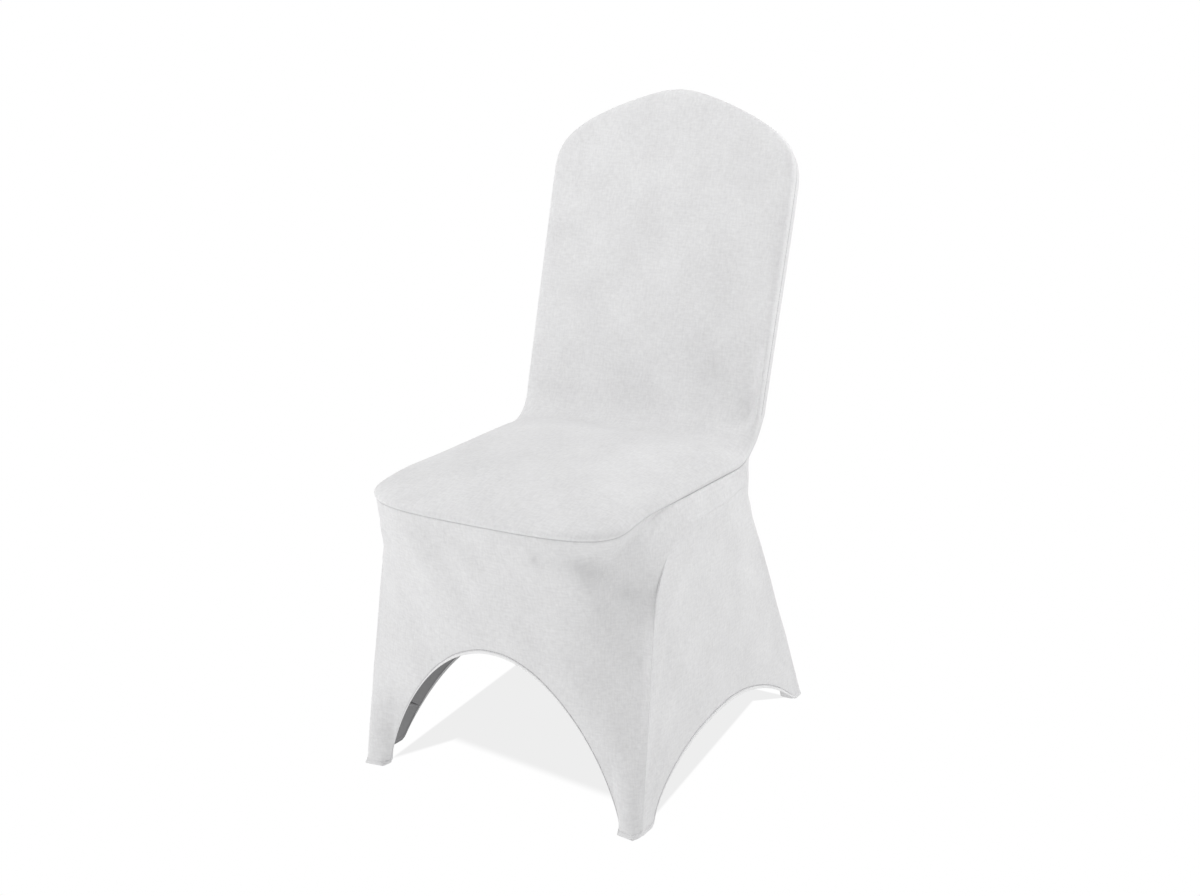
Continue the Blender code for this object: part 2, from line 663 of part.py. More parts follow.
def build_outside_back(collection, material):
    """Outside back, from the crown down the rear of the chair to the rear feet."""
    grid = face_grid(None, BACK_RIM, TOP_RIM, rear_edge_point)
    rows, cols = grid.shape[:2]
    depth = REAR_EDGE_ROWS[0][1]
    points = [lift(s, t, depth) for s, t in grid.reshape(-1, 2)]
    faces = [quad[::-1] for quad in grid_faces(rows, cols)]
    ring = [j * cols + cols - 1 for j in range(rows)]
    ring += [(rows - 1) * cols + i for i in range(cols - 2, -1, -1)]
    ring += [j * cols for j in range(rows - 2, -1, -1)]
    path = list(BACK_RIM) + list(TOP_RIM[1:])
    path += [mirror_rim(r) for r in TOP_RIM[::-1][1:]]
    path += [mirror_rim(r) for r in BACK_RIM[::-1][1:]]
    right_end, left_end = [cols - 1], [0]
    for row in range(1, len(REAR_EDGE_ROWS)):
        start = len(points)
        for rim in path:
            s, t, deep = rear_edge_point(rim, row)
            points.append(lift(s, t, deep + (SEAM if row == len(REAR_EDGE_ROWS) - 1 else 0.0)))
        outer = list(range(start, start + len(path)))
        for k in range(len(path) - 1):
            faces.append((ring[k + 1], outer[k + 1], outer[k], ring[k]))
        ring = outer
        right_end.append(outer[0])
        left_end.append(outer[-1])
    top_ids = left_end[::-1] + list(range(1, cols - 1)) + right_end
    top_row = np.array([points[k] for k in top_ids])
    edge = rear_side_edge()
    leg_from = nearest(edge, 2, RAIL_END[2])
    corner = along(edge, 0.0, leg_from, 6)
    right = np.concatenate((corner, along(edge, leg_from, lengths(edge)[-1], 10)[1:]))
    right[0] = top_row[-1]
    lower_rows = len(right)
    bottom = rear_lower_edge(len(top_ids) - 1)
    patch = hung(top_row, bottom, right)
    held = trim(patch, bottom=0.0, top=0.0, left=LEG_MITRE, right=LEG_MITRE)
    patch[1:] = held[1:]
    start = len(points)
    points += list(patch[1:].reshape(-1, 3))
    wide = len(top_ids)
    faces += [(top_ids[i], top_ids[i + 1], start + i + 1, start + i) for i in range(wide - 1)]
    faces += grid_faces(lower_rows - 1, wide, start)
    return add_sheet(collection, "outside_back", points, faces, material)


def build_pocket(collection, name, side, place, material):
    """Closed pocket that grips the tip of one leg."""
    half = POCKET_SIDE / 2
    ring = []
    for quarter in range(4):
        for step in range(3):
            angle = math.pi / 2 * quarter + math.pi / 4 * step
            sign_x = 1 if quarter in (0, 3) else -1
            sign_y = 1 if quarter in (0, 1) else -1
            ring.append((sign_x * (half - POCKET_CORNER) + POCKET_CORNER * math.cos(angle),
                         sign_y * (half - POCKET_CORNER) + POCKET_CORNER * math.sin(angle)))
    levels = ((POCKET_HIGH, 1.0), (POCKET_HIGH / 2, 1.0), (0.002, 1.0), (0.0, 0.90))
    points = []
    for z, scale in levels:
        middle = place[1] + place[2] * z
        points += [(side * place[0] + x * scale, middle + y * scale, z) for x, y in ring]
    count = len(ring)
    faces = []
    for level in range(len(levels) - 1):
        for k in range(count):
            n = (k + 1) % count
            a, b = level * count, (level + 1) * count
            faces.append((a + k, b + k, b + n, a + n))
    last = (len(levels) - 1) * count
    faces.append(tuple(range(last + count - 1, last - 1, -1)))
    return add_sheet(collection, name, points, faces, material, POCKET_WALL)


def clear_scene():
    """Start from an empty file."""
    for item in list(bpy.data.objects):
        bpy.data.objects.remove(item, do_unlink=True)


clear_scene()
cover = bpy.data.collections.new("chair_cover")
bpy.context.scene.collection.children.link(cover)
build_seat_and_back(cover, cloth_material("seat_and_back_cloth", 0.72))
build_outside_back(cover, cloth_material("outside_back_cloth", 0.72))
build_front_skirt(cover, cloth_material("front_skirt_cloth", 0.72))
pocket_cloth = cloth_material("foot_pocket_cloth", 0.70)
for label, sign in (("left", -1), ("right", 1)):
    cloth = cloth_material("side_cloth_" + label, 0.72)
    build_side_skirt(cover, "side_skirt_" + label, sign, cloth)
    build_pocket(cover, "foot_pocket_front_" + label, sign, FRONT_POCKET, pocket_cloth)
    build_pocket(cover, "foot_pocket_rear_" + label, sign, REAR_POCKET, pocket_cloth)
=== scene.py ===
"""White stretch cover of a crown-back banquet chair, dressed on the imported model.

Each cut piece of cloth is a thin sheet that stands for its node: seat and inside
back, outside back, front skirt, two side panels and four foot pockets. Metres,
X to the right as seen from the front, Y to the rear, Z up.
"""

import math

import bpy
import numpy as np
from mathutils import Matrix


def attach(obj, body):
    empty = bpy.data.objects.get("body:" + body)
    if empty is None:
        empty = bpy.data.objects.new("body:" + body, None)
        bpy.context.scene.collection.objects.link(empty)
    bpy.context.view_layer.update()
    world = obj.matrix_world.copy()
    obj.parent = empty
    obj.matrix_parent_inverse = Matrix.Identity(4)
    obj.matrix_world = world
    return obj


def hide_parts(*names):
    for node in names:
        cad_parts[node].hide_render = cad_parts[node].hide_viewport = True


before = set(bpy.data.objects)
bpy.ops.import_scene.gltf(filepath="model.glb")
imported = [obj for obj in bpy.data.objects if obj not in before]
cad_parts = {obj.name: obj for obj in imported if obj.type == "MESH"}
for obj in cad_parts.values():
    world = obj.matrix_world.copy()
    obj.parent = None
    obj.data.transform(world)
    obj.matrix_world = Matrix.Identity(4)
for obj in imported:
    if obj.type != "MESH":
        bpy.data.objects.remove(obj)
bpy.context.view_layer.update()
scene = bpy.context.scene


# Camera
# The photo's view: a little above the seat, from the front right.
view_azimuth = math.radians(30.8635)
view_height = math.radians(14.9534)
view_distance = 2.2219
camera = bpy.data.objects.new("photo_camera", bpy.data.cameras.new("photo_camera"))
camera.data.sensor_width = 36.0
camera.data.lens = 47.114
camera.location = (0.0251 + view_distance * math.sin(view_azimuth) * math.cos(view_height),
                   -0.0100 - view_distance * math.cos(view_azimuth) * math.cos(view_height),
                   0.4476 + view_distance * math.sin(view_height))
camera.rotation_euler = (math.pi / 2 - view_height, 0.0, view_azimuth)
scene.collection.objects.link(camera)
scene.camera = camera
scene.view_settings.view_transform = "Standard"


# Cloth material
# White polyester and elastane knit with a faint sheen. The knit's ribs and rows, its
# uneven tone, and the sewn lines are worked out from each piece's flat pattern, in metres.
def new_group(name, outputs):
    """A node group with float outputs, and its output node."""
    group = bpy.data.node_groups.new(name, "ShaderNodeTree")
    for label in outputs:
        group.interface.new_socket(label, in_out="OUTPUT", socket_type="NodeSocketFloat")
    return group, group.nodes.new("NodeGroupOutput")


def math_node(tree, operation, first, second=None):
    """A math node fed by sockets or numbers."""
    node = tree.nodes.new("ShaderNodeMath")
    node.operation = operation
    for socket, value in zip(node.inputs, (first, second)):
        if isinstance(value, (int, float)):
            socket.default_value = value
        elif value is not None:
            tree.links.new(value, socket)
    return node.outputs[0]


def times(tree, first, second):
    """The product of two sockets or numbers."""
    return math_node(tree, "MULTIPLY", first, second)


def plus(tree, first, second):
    """The sum of two sockets or numbers."""
    return math_node(tree, "ADD", first, second)


def coordinates(group, kind):
    """A texture coordinate, whole and split into X, Y and Z."""
    place = group.nodes.new("ShaderNodeTexCoord").outputs[kind]
    parts = group.nodes.new("ShaderNodeSeparateXYZ")
    group.links.new(place, parts.inputs[0])
    return place, parts.outputs


def noise(tree, vector, stretch, detail, roughness=0.55):
    """Noise over the cloth, with its own number of spots per metre each way."""
    mapping = tree.nodes.new("ShaderNodeMapping")
    mapping.inputs["Scale"].default_value = (*stretch, 1.0)
    tree.links.new(vector, mapping.inputs["Vector"])
    texture = tree.nodes.new("ShaderNodeTexNoise")
    for label, value in (("Scale", 1.0), ("Detail", detail), ("Roughness", roughness)):
        texture.inputs[label].default_value = value
    tree.links.new(mapping.outputs["Vector"], texture.inputs["Vector"])
    return texture.outputs["Fac"]


RIB_PITCH, ROW_PITCH, STITCH_PITCH = 0.0011, 0.0008, 0.0034


def knit_group():
    """Height of the knitted loops: ribs across and rows along."""
    group, out = new_group("knit_loops", ("Height",))
    pattern, place = coordinates(group, "UV")
    ribs = math_node(group, "SINE", times(group, place["X"], 2 * math.pi / RIB_PITCH))
    rows = math_node(group, "SINE", times(group, place["Y"], 2 * math.pi / ROW_PITCH))
    loops = plus(group, times(group, ribs, 0.6), times(group, rows, 0.4))
    uneven = noise(group, pattern, (260.0, 260.0), 2.0)
    group.links.new(times(group, loops, uneven), out.inputs["Height"])
    return group


def tone_group():
    """Uneven tone of the stretched knit: broad patches and short streaks both ways."""
    group, out = new_group("knit_tone", ("Tone", "Slub"))
    pattern = group.nodes.new("ShaderNodeTexCoord").outputs["UV"]
    broad = noise(group, pattern, (14.0, 12.0), 3.0)
    across = noise(group, pattern, (90.0, 320.0), 3.0, 0.65)
    along_cloth = noise(group, pattern, (320.0, 90.0), 3.0, 0.65)
    streaks = plus(group, across, along_cloth)
    tone = plus(group, times(group, broad, 0.45), times(group, streaks, 0.55))
    group.links.new(tone, out.inputs["Tone"])
    group.links.new(streaks, out.inputs["Slub"])
    return group


def stitch_group():
    """Sewn lines: a dent and a stitch every few millimetres, and a painted highlight along the doubled
    hem's edge.
    """
    group, out = new_group("sewn_line", ("Shade", "Height", "DoubledHemHighlight"))
    mask = group.nodes.new("ShaderNodeAttribute")
    mask.attribute_name = "sewn"
    _, place = coordinates(group, "UV")
    run_on = plus(group, place["X"], place["Y"])
    beat = math_node(group, "SINE", times(group, run_on, 2 * math.pi / STITCH_PITCH))
    beat = times(group, plus(group, beat, 1.0), 0.5)
    line = math_node(group, "MAXIMUM", mask.outputs["Fac"], 0.0)
    depth = times(group, line, plus(group, times(group, beat, 0.5), 0.5))
    # The painted highlight along the doubled hem's edge comes in as values below zero
    doubled_hem_highlight = times(group, math_node(group, "MINIMUM", mask.outputs["Fac"], 0.0), -1.0)
    group.links.new(doubled_hem_highlight, out.inputs["DoubledHemHighlight"])
    group.links.new(depth, out.inputs["Shade"])
    group.links.new(times(group, depth, -1.0), out.inputs["Height"])
    return group


KNIT, TONE, SEWN = knit_group(), tone_group(), stitch_group()


# Dark of the sewn lines, and the painted highlight laid over the doubled hem's rolled edge
SEAM_SHADE, DOUBLED_HEM_HIGHLIGHT = (0.52, 0.52, 0.53), (0.90, 0.90, 0.90)


def lay_over(tree, blend, factor, under, over):
    """A colour with another laid over it by a factor."""
    node = tree.nodes.new("ShaderNodeMix")
    node.data_type = "RGBA"
    node.blend_type = blend
    node.inputs[7].default_value = (*over, 1.0)
    tree.links.new(factor, node.inputs["Factor"])
    tree.links.new(under, node.inputs[6])
    return node.outputs[2]


def cloth_material(name, light, dark):
    """One cloth: knit, uneven tone and sewn lines."""
    material = bpy.data.materials.new(name)
    material.use_nodes = True
    tree = material.node_tree
    shader = tree.nodes["Principled BSDF"]
    for label, value in (("Sheen Weight", 0.12), ("Sheen Roughness", 0.45), ("Specular IOR Level", 0.25)):
        shader.inputs[label].default_value = value
    groups = []
    for group in (KNIT, TONE, SEWN):
        node = tree.nodes.new("ShaderNodeGroup")
        node.node_tree = group
        groups.append(node.outputs)
    knit, tone, sewn = groups
    ramp = tree.nodes.new("ShaderNodeValToRGB")
    for element, position, colour in zip(ramp.color_ramp.elements, (0.52, 0.98), (dark, light)):
        element.position = position
        element.color = (*colour, 1.0)
    tree.links.new(tone["Tone"], ramp.inputs["Fac"])
    colour = ramp.outputs["Color"]
    colour = lay_over(tree, "MULTIPLY", times(tree, sewn["Shade"], 0.9), colour, SEAM_SHADE)
    # Painted highlight: the band along the doubled hem's rolled edge is made lighter
    colour = lay_over(tree, "MIX", times(tree, sewn["DoubledHemHighlight"], 0.6), colour, DOUBLED_HEM_HIGHLIGHT)
    tree.links.new(colour, shader.inputs["Base Color"])
    rough = plus(tree, times(tree, tone["Tone"], 0.20), 0.58)
    tree.links.new(rough, shader.inputs["Roughness"])
    normal = None
    for height, strength, distance in (
            (tone["Slub"], 0.35, 0.0006), (sewn["Height"], 0.6, 0.0006), (knit["Height"], 0.25, 0.00008)):
        bump = tree.nodes.new("ShaderNodeBump")
        bump.inputs["Strength"].default_value = strength
        bump.inputs["Distance"].default_value = distance
        tree.links.new(height, bump.inputs["Height"])
        if normal:
            tree.links.new(normal, bump.inputs["Normal"])
        normal = bump.outputs["Normal"]
    tree.links.new(normal, shader.inputs["Normal"])
    return material


white_cloth = cloth_material("white_stretch_cloth", (0.785, 0.785, 0.79), (0.645, 0.642, 0.648))
# The pockets' copy of the white cloth is painted a little darker, as shade inside the skirt's corners
pocket_cloth_painted_shade = cloth_material("white_pocket_cloth_painted_shade", (0.75, 0.75, 0.755), (0.63, 0.627, 0.632))
# Inner face of every piece: the same white cloth painted dark grey, as shade inside the cover
inside_cloth_painted_shade = cloth_material("cloth_inside_painted_shade", (0.30, 0.30, 0.305), (0.27, 0.27, 0.275))


# Seat and inside back
# One length of cloth runs over the seat's pad, bends softly up the front of the back
# and rolls over the edge all round, down to the seam that holds the skirt and the
# outside back. The pad's crown and the drag of the cloth at the bend are worked in.
LIP_Y, SEAT_Z, SEAT_CROWN, SEAT_HALF = -0.2905, 0.4475, 0.0130, 0.197
FRONT_DROOP, DROOP_LENGTH, SEAT_REAR_RISE = 0.0135, 0.135, 0.0125
CORNER_DEPTH, CORNER_POWER = 0.080, 3.1
LEAN, FOOT_OF_BACK_Y, FILLET = math.radians(15.04), 0.1261, 0.050
BACK_HALF, SHOULDER_HALF, WIDEST_Z, PEAK_Z = 0.1988, 0.2010, 0.79, 0.9365
CROWN_SLOPE, CROWN_SOFT, SHOULDER_DEPTH, SHOULDER_POWER = 0.36, 0.015, 0.082, 4.0
BACK_TAPER, BACK_CROWN, CROWN_ROLL = 0.002, 0.004, 0.0063
SEAT_FRONT_EDGE, CROWN_EDGE = 0.158, 0.166
OTHER_SIDE = np.array((-1.0, 1.0, -1.0, 1.0))
QUARTER = 161  # points along each rounded corner of the outline
ACROSS, UP_SIDE, UP_REAR = 45, 221, 141  # points across half the cloth and up its sides

# Rolled edge: distance in from the widest line and distance below the face
SOFT_ROUNDS = 14
EDGE_ROWS = np.array((
    # seat_in, seat_down, back_in, back_down
    (0.0450, 0.0105, 0.0150, 0.0000),
    (0.0220, 0.0135, 0.0055, 0.0022),
    (0.0090, 0.0168, 0.0014, 0.0062),
    (0.0020, 0.0205, 0.0000, 0.0110),
    (0.0000, 0.0248, 0.0000, 0.0162),
    (0.0030, 0.0300, 0.0002, 0.0212),
))

# Soft troughs (depth above 0) and ridges, as lines over the flat pattern
BACK_FOLDS = (
    # s0, t0, s1, t1, half_width, depth
    (0.130, 0.500, 0.192, 0.455, 0.024, 0.0100),
    (0.200, 0.520, 0.200, 0.450, 0.036, 0.0150),
    (0.080, 0.426, 0.198, 0.408, 0.012, -0.0060),
    (0.155, 0.385, 0.194, 0.372, 0.010, 0.0022),
    (0.140, 0.345, 0.192, 0.352, 0.007, -0.0012),
    (0.172, 0.323, 0.195, 0.318, 0.006, 0.0018),
    (-0.180, 0.490, -0.100, 0.465, 0.020, 0.0025),
    (-0.150, 0.385, -0.040, 0.400, 0.012, 0.0018),
    (-0.140, 0.360, -0.020, 0.372, 0.016, -0.0014),
    (0.118, 0.036, 0.150, 0.042, 0.012, 0.0012),
    (-0.100, 0.660, 0.020, 0.640, 0.030, 0.0012),
    (0.040, 0.720, 0.130, 0.690, 0.028, -0.0012),
    (-0.060, 0.560, 0.040, 0.590, 0.034, -0.0014),
)


def smooth(value, low, high):
    """Smooth step from 0 at low to 1 at high."""
    share = np.clip((value - low) / (high - low), 0.0, 1.0)
    return share * share * (3.0 - 2.0 * share)


TANGENT = FILLET * math.tan((math.pi / 2 - LEAN) / 2)
T_FILLET = FOOT_OF_BACK_Y - TANGENT - LIP_Y
T_BACK = T_FILLET + FILLET * (math.pi / 2 - LEAN)
BACK_START_Z = SEAT_Z + TANGENT * math.cos(LEAN)
T_PEAK, T_WIDE = (T_BACK + (z - BACK_START_Z) / math.cos(LEAN) for z in (PEAK_Z, WIDEST_Z))


def lift(s, t, down):
    """Points at s across and t along the seat and back, a distance below the face."""
    s, t, down = (np.asarray(value, float) for value in (s, t, down))
    turn = np.clip((t - T_FILLET) / FILLET, 0.0, math.pi / 2 - LEAN)
    over = np.maximum(t - T_BACK, 0.0)
    droop = FRONT_DROOP * (1.0 - smooth(t, 0.0, DROOP_LENGTH))
    y = LIP_Y + np.minimum(t, T_FILLET) + FILLET * np.sin(turn) + over * math.sin(LEAN)
    z = SEAT_Z - droop + FILLET * (1.0 - np.cos(turn)) + over * math.cos(LEAN)
    return np.stack((s + 0.0 * y, y + np.sin(turn) * down, z - np.cos(turn) * down), axis=-1)


def half_outline():
    """Widest line of the seat and back, right half, as (s, t) from front to peak."""
    angle = np.linspace(0.0, math.pi / 2, QUARTER)
    cosine = np.maximum(np.cos(angle), 0.0)
    front = np.stack((SEAT_HALF * np.sin(angle) ** (2 / CORNER_POWER),
                      CORNER_DEPTH * (1.0 - cosine ** (2 / CORNER_POWER))), axis=1)
    crown = SHOULDER_HALF * np.sin(angle) ** (2 / SHOULDER_POWER)
    drop = np.hypot(CROWN_SLOPE * crown, CROWN_SOFT) - CROWN_SOFT
    drop = drop + SHOULDER_DEPTH * (1.0 - cosine ** (2 / SHOULDER_POWER))
    top = np.stack((crown, T_PEAK - drop / math.cos(LEAN)), axis=1)[::-1]
    run = np.linspace(CORNER_DEPTH, top[0, 1], QUARTER)[1:-1]
    width = np.interp(run, (T_FILLET, T_BACK, T_WIDE), (SEAT_HALF, BACK_HALF, SHOULDER_HALF))
    return np.concatenate((front, np.stack((width, run), axis=1), top))


def lengths(path):
    """Running length along a path."""
    return np.concatenate(((0.0,), np.cumsum(np.linalg.norm(np.diff(path, axis=0), axis=1))))


def columns_at(wanted, places, table):
    """Each column of a table read at the wanted places."""
    return [np.interp(wanted, places, table[:, k]) for k in range(table.shape[1])]


def along(path, wanted):
    """Points of a path at the wanted lengths."""
    return np.stack(columns_at(wanted, lengths(path), path), axis=1)


def whole(path, count):
    """Points evenly spaced along a whole path."""
    return along(path, np.linspace(0.0, lengths(path)[-1], count))


def reaches(path, axis, value):
    """Length along a path at which one coordinate first reaches a value."""
    run = lengths(path)
    k = np.nonzero(np.diff(np.sign(path[:, axis] - value)))[0][0]
    share = (value - path[k, axis]) / (path[k + 1, axis] - path[k, axis])
    return run[k] + share * (run[k + 1] - run[k])


def coons(bottom, top, left, right):
    """Grid of points between four edges; left and right run from bottom to top."""
    u = np.linspace(0.0, 1.0, len(bottom))[None, :, None]
    v = np.linspace(0.0, 1.0, len(left))[:, None, None]
    ruled = (1 - v) * bottom[None] + v * top[None] + (1 - u) * left[:, None] + u * right[:, None]
    corners = (1 - u) * (1 - v) * bottom[0] + u * (1 - v) * bottom[-1]
    return ruled - corners - (1 - u) * v * top[0] - u * v * top[-1]


def flip_x(points):
    """The same points mirrored to the other side."""
    return points * np.array([-1.0] + [1.0] * (points.shape[-1] - 1))


def between_rows(table, row):
    """One row of a table at a whole or part row number, on a smooth curve through them."""
    last = len(table) - 1
    k = min(int(row), last - 1)
    f = row - k
    before, here, after, beyond = (table[min(max(k + step, 0), last)] for step in (-1, 0, 1, 2))
    bend = 2 * before - 5 * here + 4 * after - beyond
    twist = 3 * here - before - 3 * after + beyond
    return 0.5 * (2 * here + (after - before) * f + bend * f ** 2 + twist * f ** 3)


def folds(across, up, table):
    """Depth of the soft troughs at each place."""
    total = np.zeros(np.shape(across))
    for a0, b0, a1, b1, half, depth in table:
        da, db = a1 - a0, b1 - b0
        near = np.clip(((across - a0) * da + (up - b0) * db) / (da * da + db * db), 0.0, 1.0)
        away = np.hypot(across - a0 - near * da, up - b0 - near * db)
        total += depth * np.exp(-((away / half) ** 2))
    return total


def ripple(run, *waves):
    """Small uneven waves along a seam: each wave is a length, a height and a start."""
    return sum(high * np.sin(2 * math.pi * run / length + start) for length, high, start in waves)


OUTLINE = half_outline()
RUN = lengths(OUTLINE)
FRONT_RUN = float(np.interp(SEAT_FRONT_EDGE, OUTLINE[:QUARTER, 0], RUN[:QUARTER]))
FROM_TOP = (RUN[-1] - RUN)[::-1][:QUARTER]
TOP_RUN = RUN[-1] - float(np.interp(CROWN_EDGE, OUTLINE[::-1][:QUARTER, 0], FROM_TOP))


def rim(run):
    """Rim points at lengths from the front, as (s, t, outward s, outward t)."""
    here, ahead, behind = (
        np.stack(columns_at(run + shift, RUN, OUTLINE), axis=1) for shift in (0.0, 0.004, -0.004))
    tangent = ahead - behind
    tangent[here[:, 0] < 0.002, 1] = 0.0
    tangent /= np.linalg.norm(tangent, axis=1)[:, None]
    return np.column_stack((here, tangent[:, 1], -tangent[:, 0]))


def back_taper(t):
    """How much narrower the back's edge is behind its face, lower down."""
    return BACK_TAPER * (1.0 - smooth(t, T_BACK - 0.03, T_WIDE)) * smooth(t, T_FILLET - 0.01, T_BACK)


def on_back(t):
    """0 on the seat and 1 on the back, eased through the bend between them."""
    return smooth(t, T_FILLET - 0.005, T_BACK + 0.005)


def edge_place(rims, row):
    """Points of the rolled edge on one row, as (s, t, down)."""
    s, t, out_s, out_t = rims.T
    seat_in, seat_down, back_in, back_down = between_rows(EDGE_ROWS, row)
    share = on_back(t)
    inward = seat_in + (back_in - seat_in) * share
    down = seat_down + (back_down - seat_down) * share
    plump = smooth(t, 0.12, T_FILLET) * (1.0 - min(row, 5.0) / 5.0)
    down = down - SEAT_REAR_RISE * plump * (1.0 - share)
    inward = inward + back_taper(t) * np.maximum(down / EDGE_ROWS[-1][3], 0.0) ** 1.5
    return s - out_s * inward, t - out_t * inward, down


def face_down(s, t):
    """How far the face lies below the spine's level, with its crown and its folds."""
    across = np.maximum(0.0, 1.0 - (s / 0.170) ** 2)
    seat_run = smooth(t, 0.03, 0.14) * (1.0 - smooth(t, T_FILLET - 0.06, T_FILLET + 0.02))
    back_run = smooth(t, T_BACK, T_BACK + 0.15) * (1.0 - smooth(t, T_PEAK - 0.20, T_PEAK - 0.03))
    share = on_back(t)
    sunk = (EDGE_ROWS[0][1] - SEAT_REAR_RISE * smooth(t, 0.12, T_FILLET)) * (1.0 - share)
    crowned = SEAT_CROWN * across ** 0.8 * seat_run + BACK_CROWN * across * back_run
    return sunk + folds(s, t, BACK_FOLDS) - crowned


def grid_quads(rows, cols, first=0):
    """Quads of a grid whose points run row by row."""
    j, i = np.meshgrid(np.arange(rows - 1), np.arange(cols - 1), indexing="ij")
    a = (first + j * cols + i).ravel()
    return np.stack((a, a + 1, a + cols + 1, a + cols), axis=1)


def ring_quads(inner, outer):
    """Quads between two closed loops of points."""
    return np.stack((inner, outer, np.roll(outer, -1), np.roll(inner, -1)), axis=1)


def gathered(where, values, count):
    """The sum of the vectors that belong to each point."""
    return np.stack([np.bincount(where, values[:, k], count) for k in range(3)], axis=1)


def soften(points, quads, weight):
    """Even the surface out where weight is above 0."""
    ends = np.concatenate([quads[:, pair] for pair in ((0, 1), (1, 2), (2, 3), (3, 0))])
    ends = np.concatenate((ends, ends[:, ::-1]))
    count = np.bincount(ends[:, 0], minlength=len(points))[:, None]
    for _ in range(SOFT_ROUNDS):
        total = gathered(ends[:, 0], points[ends[:, 1]], len(points))
        points = points + (total / count - points) * weight[:, None] * 0.5
    return points


def outward(points, quads):
    """Outward direction at each point."""
    one, two = points[quads[:, 2]] - points[quads[:, 0]], points[quads[:, 3]] - points[quads[:, 1]]
    total = gathered(quads.ravel(), np.repeat(np.cross(one, two), 4, axis=0), len(points))
    return total / np.maximum(np.linalg.norm(total, axis=1), 1e-12)[:, None]


def make_sheet(name, points, quads, pattern, sewn, material, thickness=0.0010):
    """One piece of cloth: its outer face, with its thickness added inwards."""
    mesh = bpy.data.meshes.new(name)
    mesh.from_pydata(points.tolist(), [], quads.tolist())
    mesh.shade_smooth()
    layer = mesh.uv_layers.new(name="flat_pattern")
    layer.data.foreach_set("uv", pattern[quads.ravel()].astype(np.float32).ravel())
    mesh.attributes.new("sewn", "FLOAT", "POINT").data.foreach_set("value", sewn.astype(np.float32))
    mesh.materials.append(material)
    # Inner faces get the cloth painted dark as shade
    mesh.materials.append(inside_cloth_painted_shade)
    piece = bpy.data.objects.new(name, mesh)
    scene.collection.objects.link(piece)
    solid = piece.modifiers.new("Thickness", "SOLIDIFY")
    solid.thickness = thickness
    solid.offset = -1.0
    solid.use_even_offset = True
    solid.material_offset = 1
    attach(piece, "root")
    return piece


def face_parts(s, t, down):
    """A sheet's points, pattern, sewn marks and weights, begun with its face."""
    return [lift(s, t, down)], [np.stack((s, t), axis=1)], [np.zeros(len(s))], [np.ones(len(s))]


def add_row(parts, here, flat, sewn, weight):
    """Adds one row of points to a sheet's parts and gives the points' numbers."""
    start = sum(len(part) for part in parts[0])
    for values, part in zip((here, flat, np.full(len(here), sewn), np.full(len(here), weight)), parts):
        part.append(values)
    return np.arange(start, start + len(here))


def roll_over(parts, path, flat, place, rows, sewn_span):
    """Adds rows of points over a rolled edge; gives their numbers and the last row's pattern."""
    rings, last = [], place(0.0)
    for row in rows:
        here = place(row)
        flat = flat + path[:, 2:] * np.linalg.norm(here - last, axis=1)[:, None]
        last = here
        sewn, weight = float(smooth(row, *sewn_span)), max(0.0, 1.0 - row / 3.0)
        rings.append(add_row(parts, here, flat, sewn, weight))
    return rings, flat


def build_seat_and_back():
    """The sheet's points: a grid over the face, then rows over the rolled edge."""
    front = rim(np.linspace(0.0, FRONT_RUN, ACROSS))
    side = rim(np.linspace(FRONT_RUN, TOP_RUN, UP_SIDE))
    top = rim(np.linspace(TOP_RUN, RUN[-1], ACROSS))
    inner = [np.stack(edge_place(part, 0)[:2], axis=1) for part in (front, side, top)]
    bottom_row = np.concatenate((flip_x(inner[0])[::-1], inner[0][1:]))
    top_row = np.concatenate((flip_x(inner[2]), inner[2][::-1][1:]))
    grid = coons(bottom_row, top_row, flip_x(inner[1]), inner[1])
    rows, cols = grid.shape[:2]
    s, t = grid.reshape(-1, 2).T
    parts = face_parts(s, t, face_down(s, t))
    index = np.arange(rows * cols).reshape(rows, cols)
    face_ring = np.concatenate((index[0], index[1:, -1], index[-1, -2::-1], index[-2:0:-1, 0]))
    half = np.concatenate((front, side[1:], top[1:]))
    path = np.concatenate((front[::-1] * OTHER_SIDE, half[1:], half[::-1][1:-ACROSS] * OTHER_SIDE))
    first_s, first_t, first_down = edge_place(path, 0)
    given = face_down(first_s, first_t) - first_down

    def edge_row(row):
        s, t, down = edge_place(path, row)
        return lift(s, t, down + given * np.clip(1.0 - row / 2.0, 0.0, 1.0) ** 2)

    steps = np.concatenate((np.linspace(0.0, 4.0, 17)[1:], (4.2, 4.4, 4.6, 4.75, 4.88, 5.0)))
    flat = np.stack((first_s, first_t), axis=1)
    rings, flat = roll_over(parts, path, flat, edge_row, steps, (4.70, 4.95))
    s, t, down = edge_place(path, 5)
    for inward in (0.0016, 0.0060):
        here = lift(s - path[:, 2] * inward, t - path[:, 3] * inward, down + 0.0006)
        flat = flat + path[:, 2:] * inward
        rings.append(add_row(parts, here, flat, 1.0, 0.0))
    points, pattern, sewn, weight = (np.concatenate(part) for part in parts)
    edge_quads = [ring_quads(one, two) for one, two in zip([face_ring] + rings[:-1], rings)]
    quads = np.concatenate([grid_quads(rows, cols)] + edge_quads)
    return soften(points, quads, weight), quads, pattern, sewn


points, quads, pattern, sewn = build_seat_and_back()
seat_and_back = make_sheet("seat_and_inside_back_cloth", points, quads, pattern, sewn, white_cloth)
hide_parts("seat_and_inside_back")


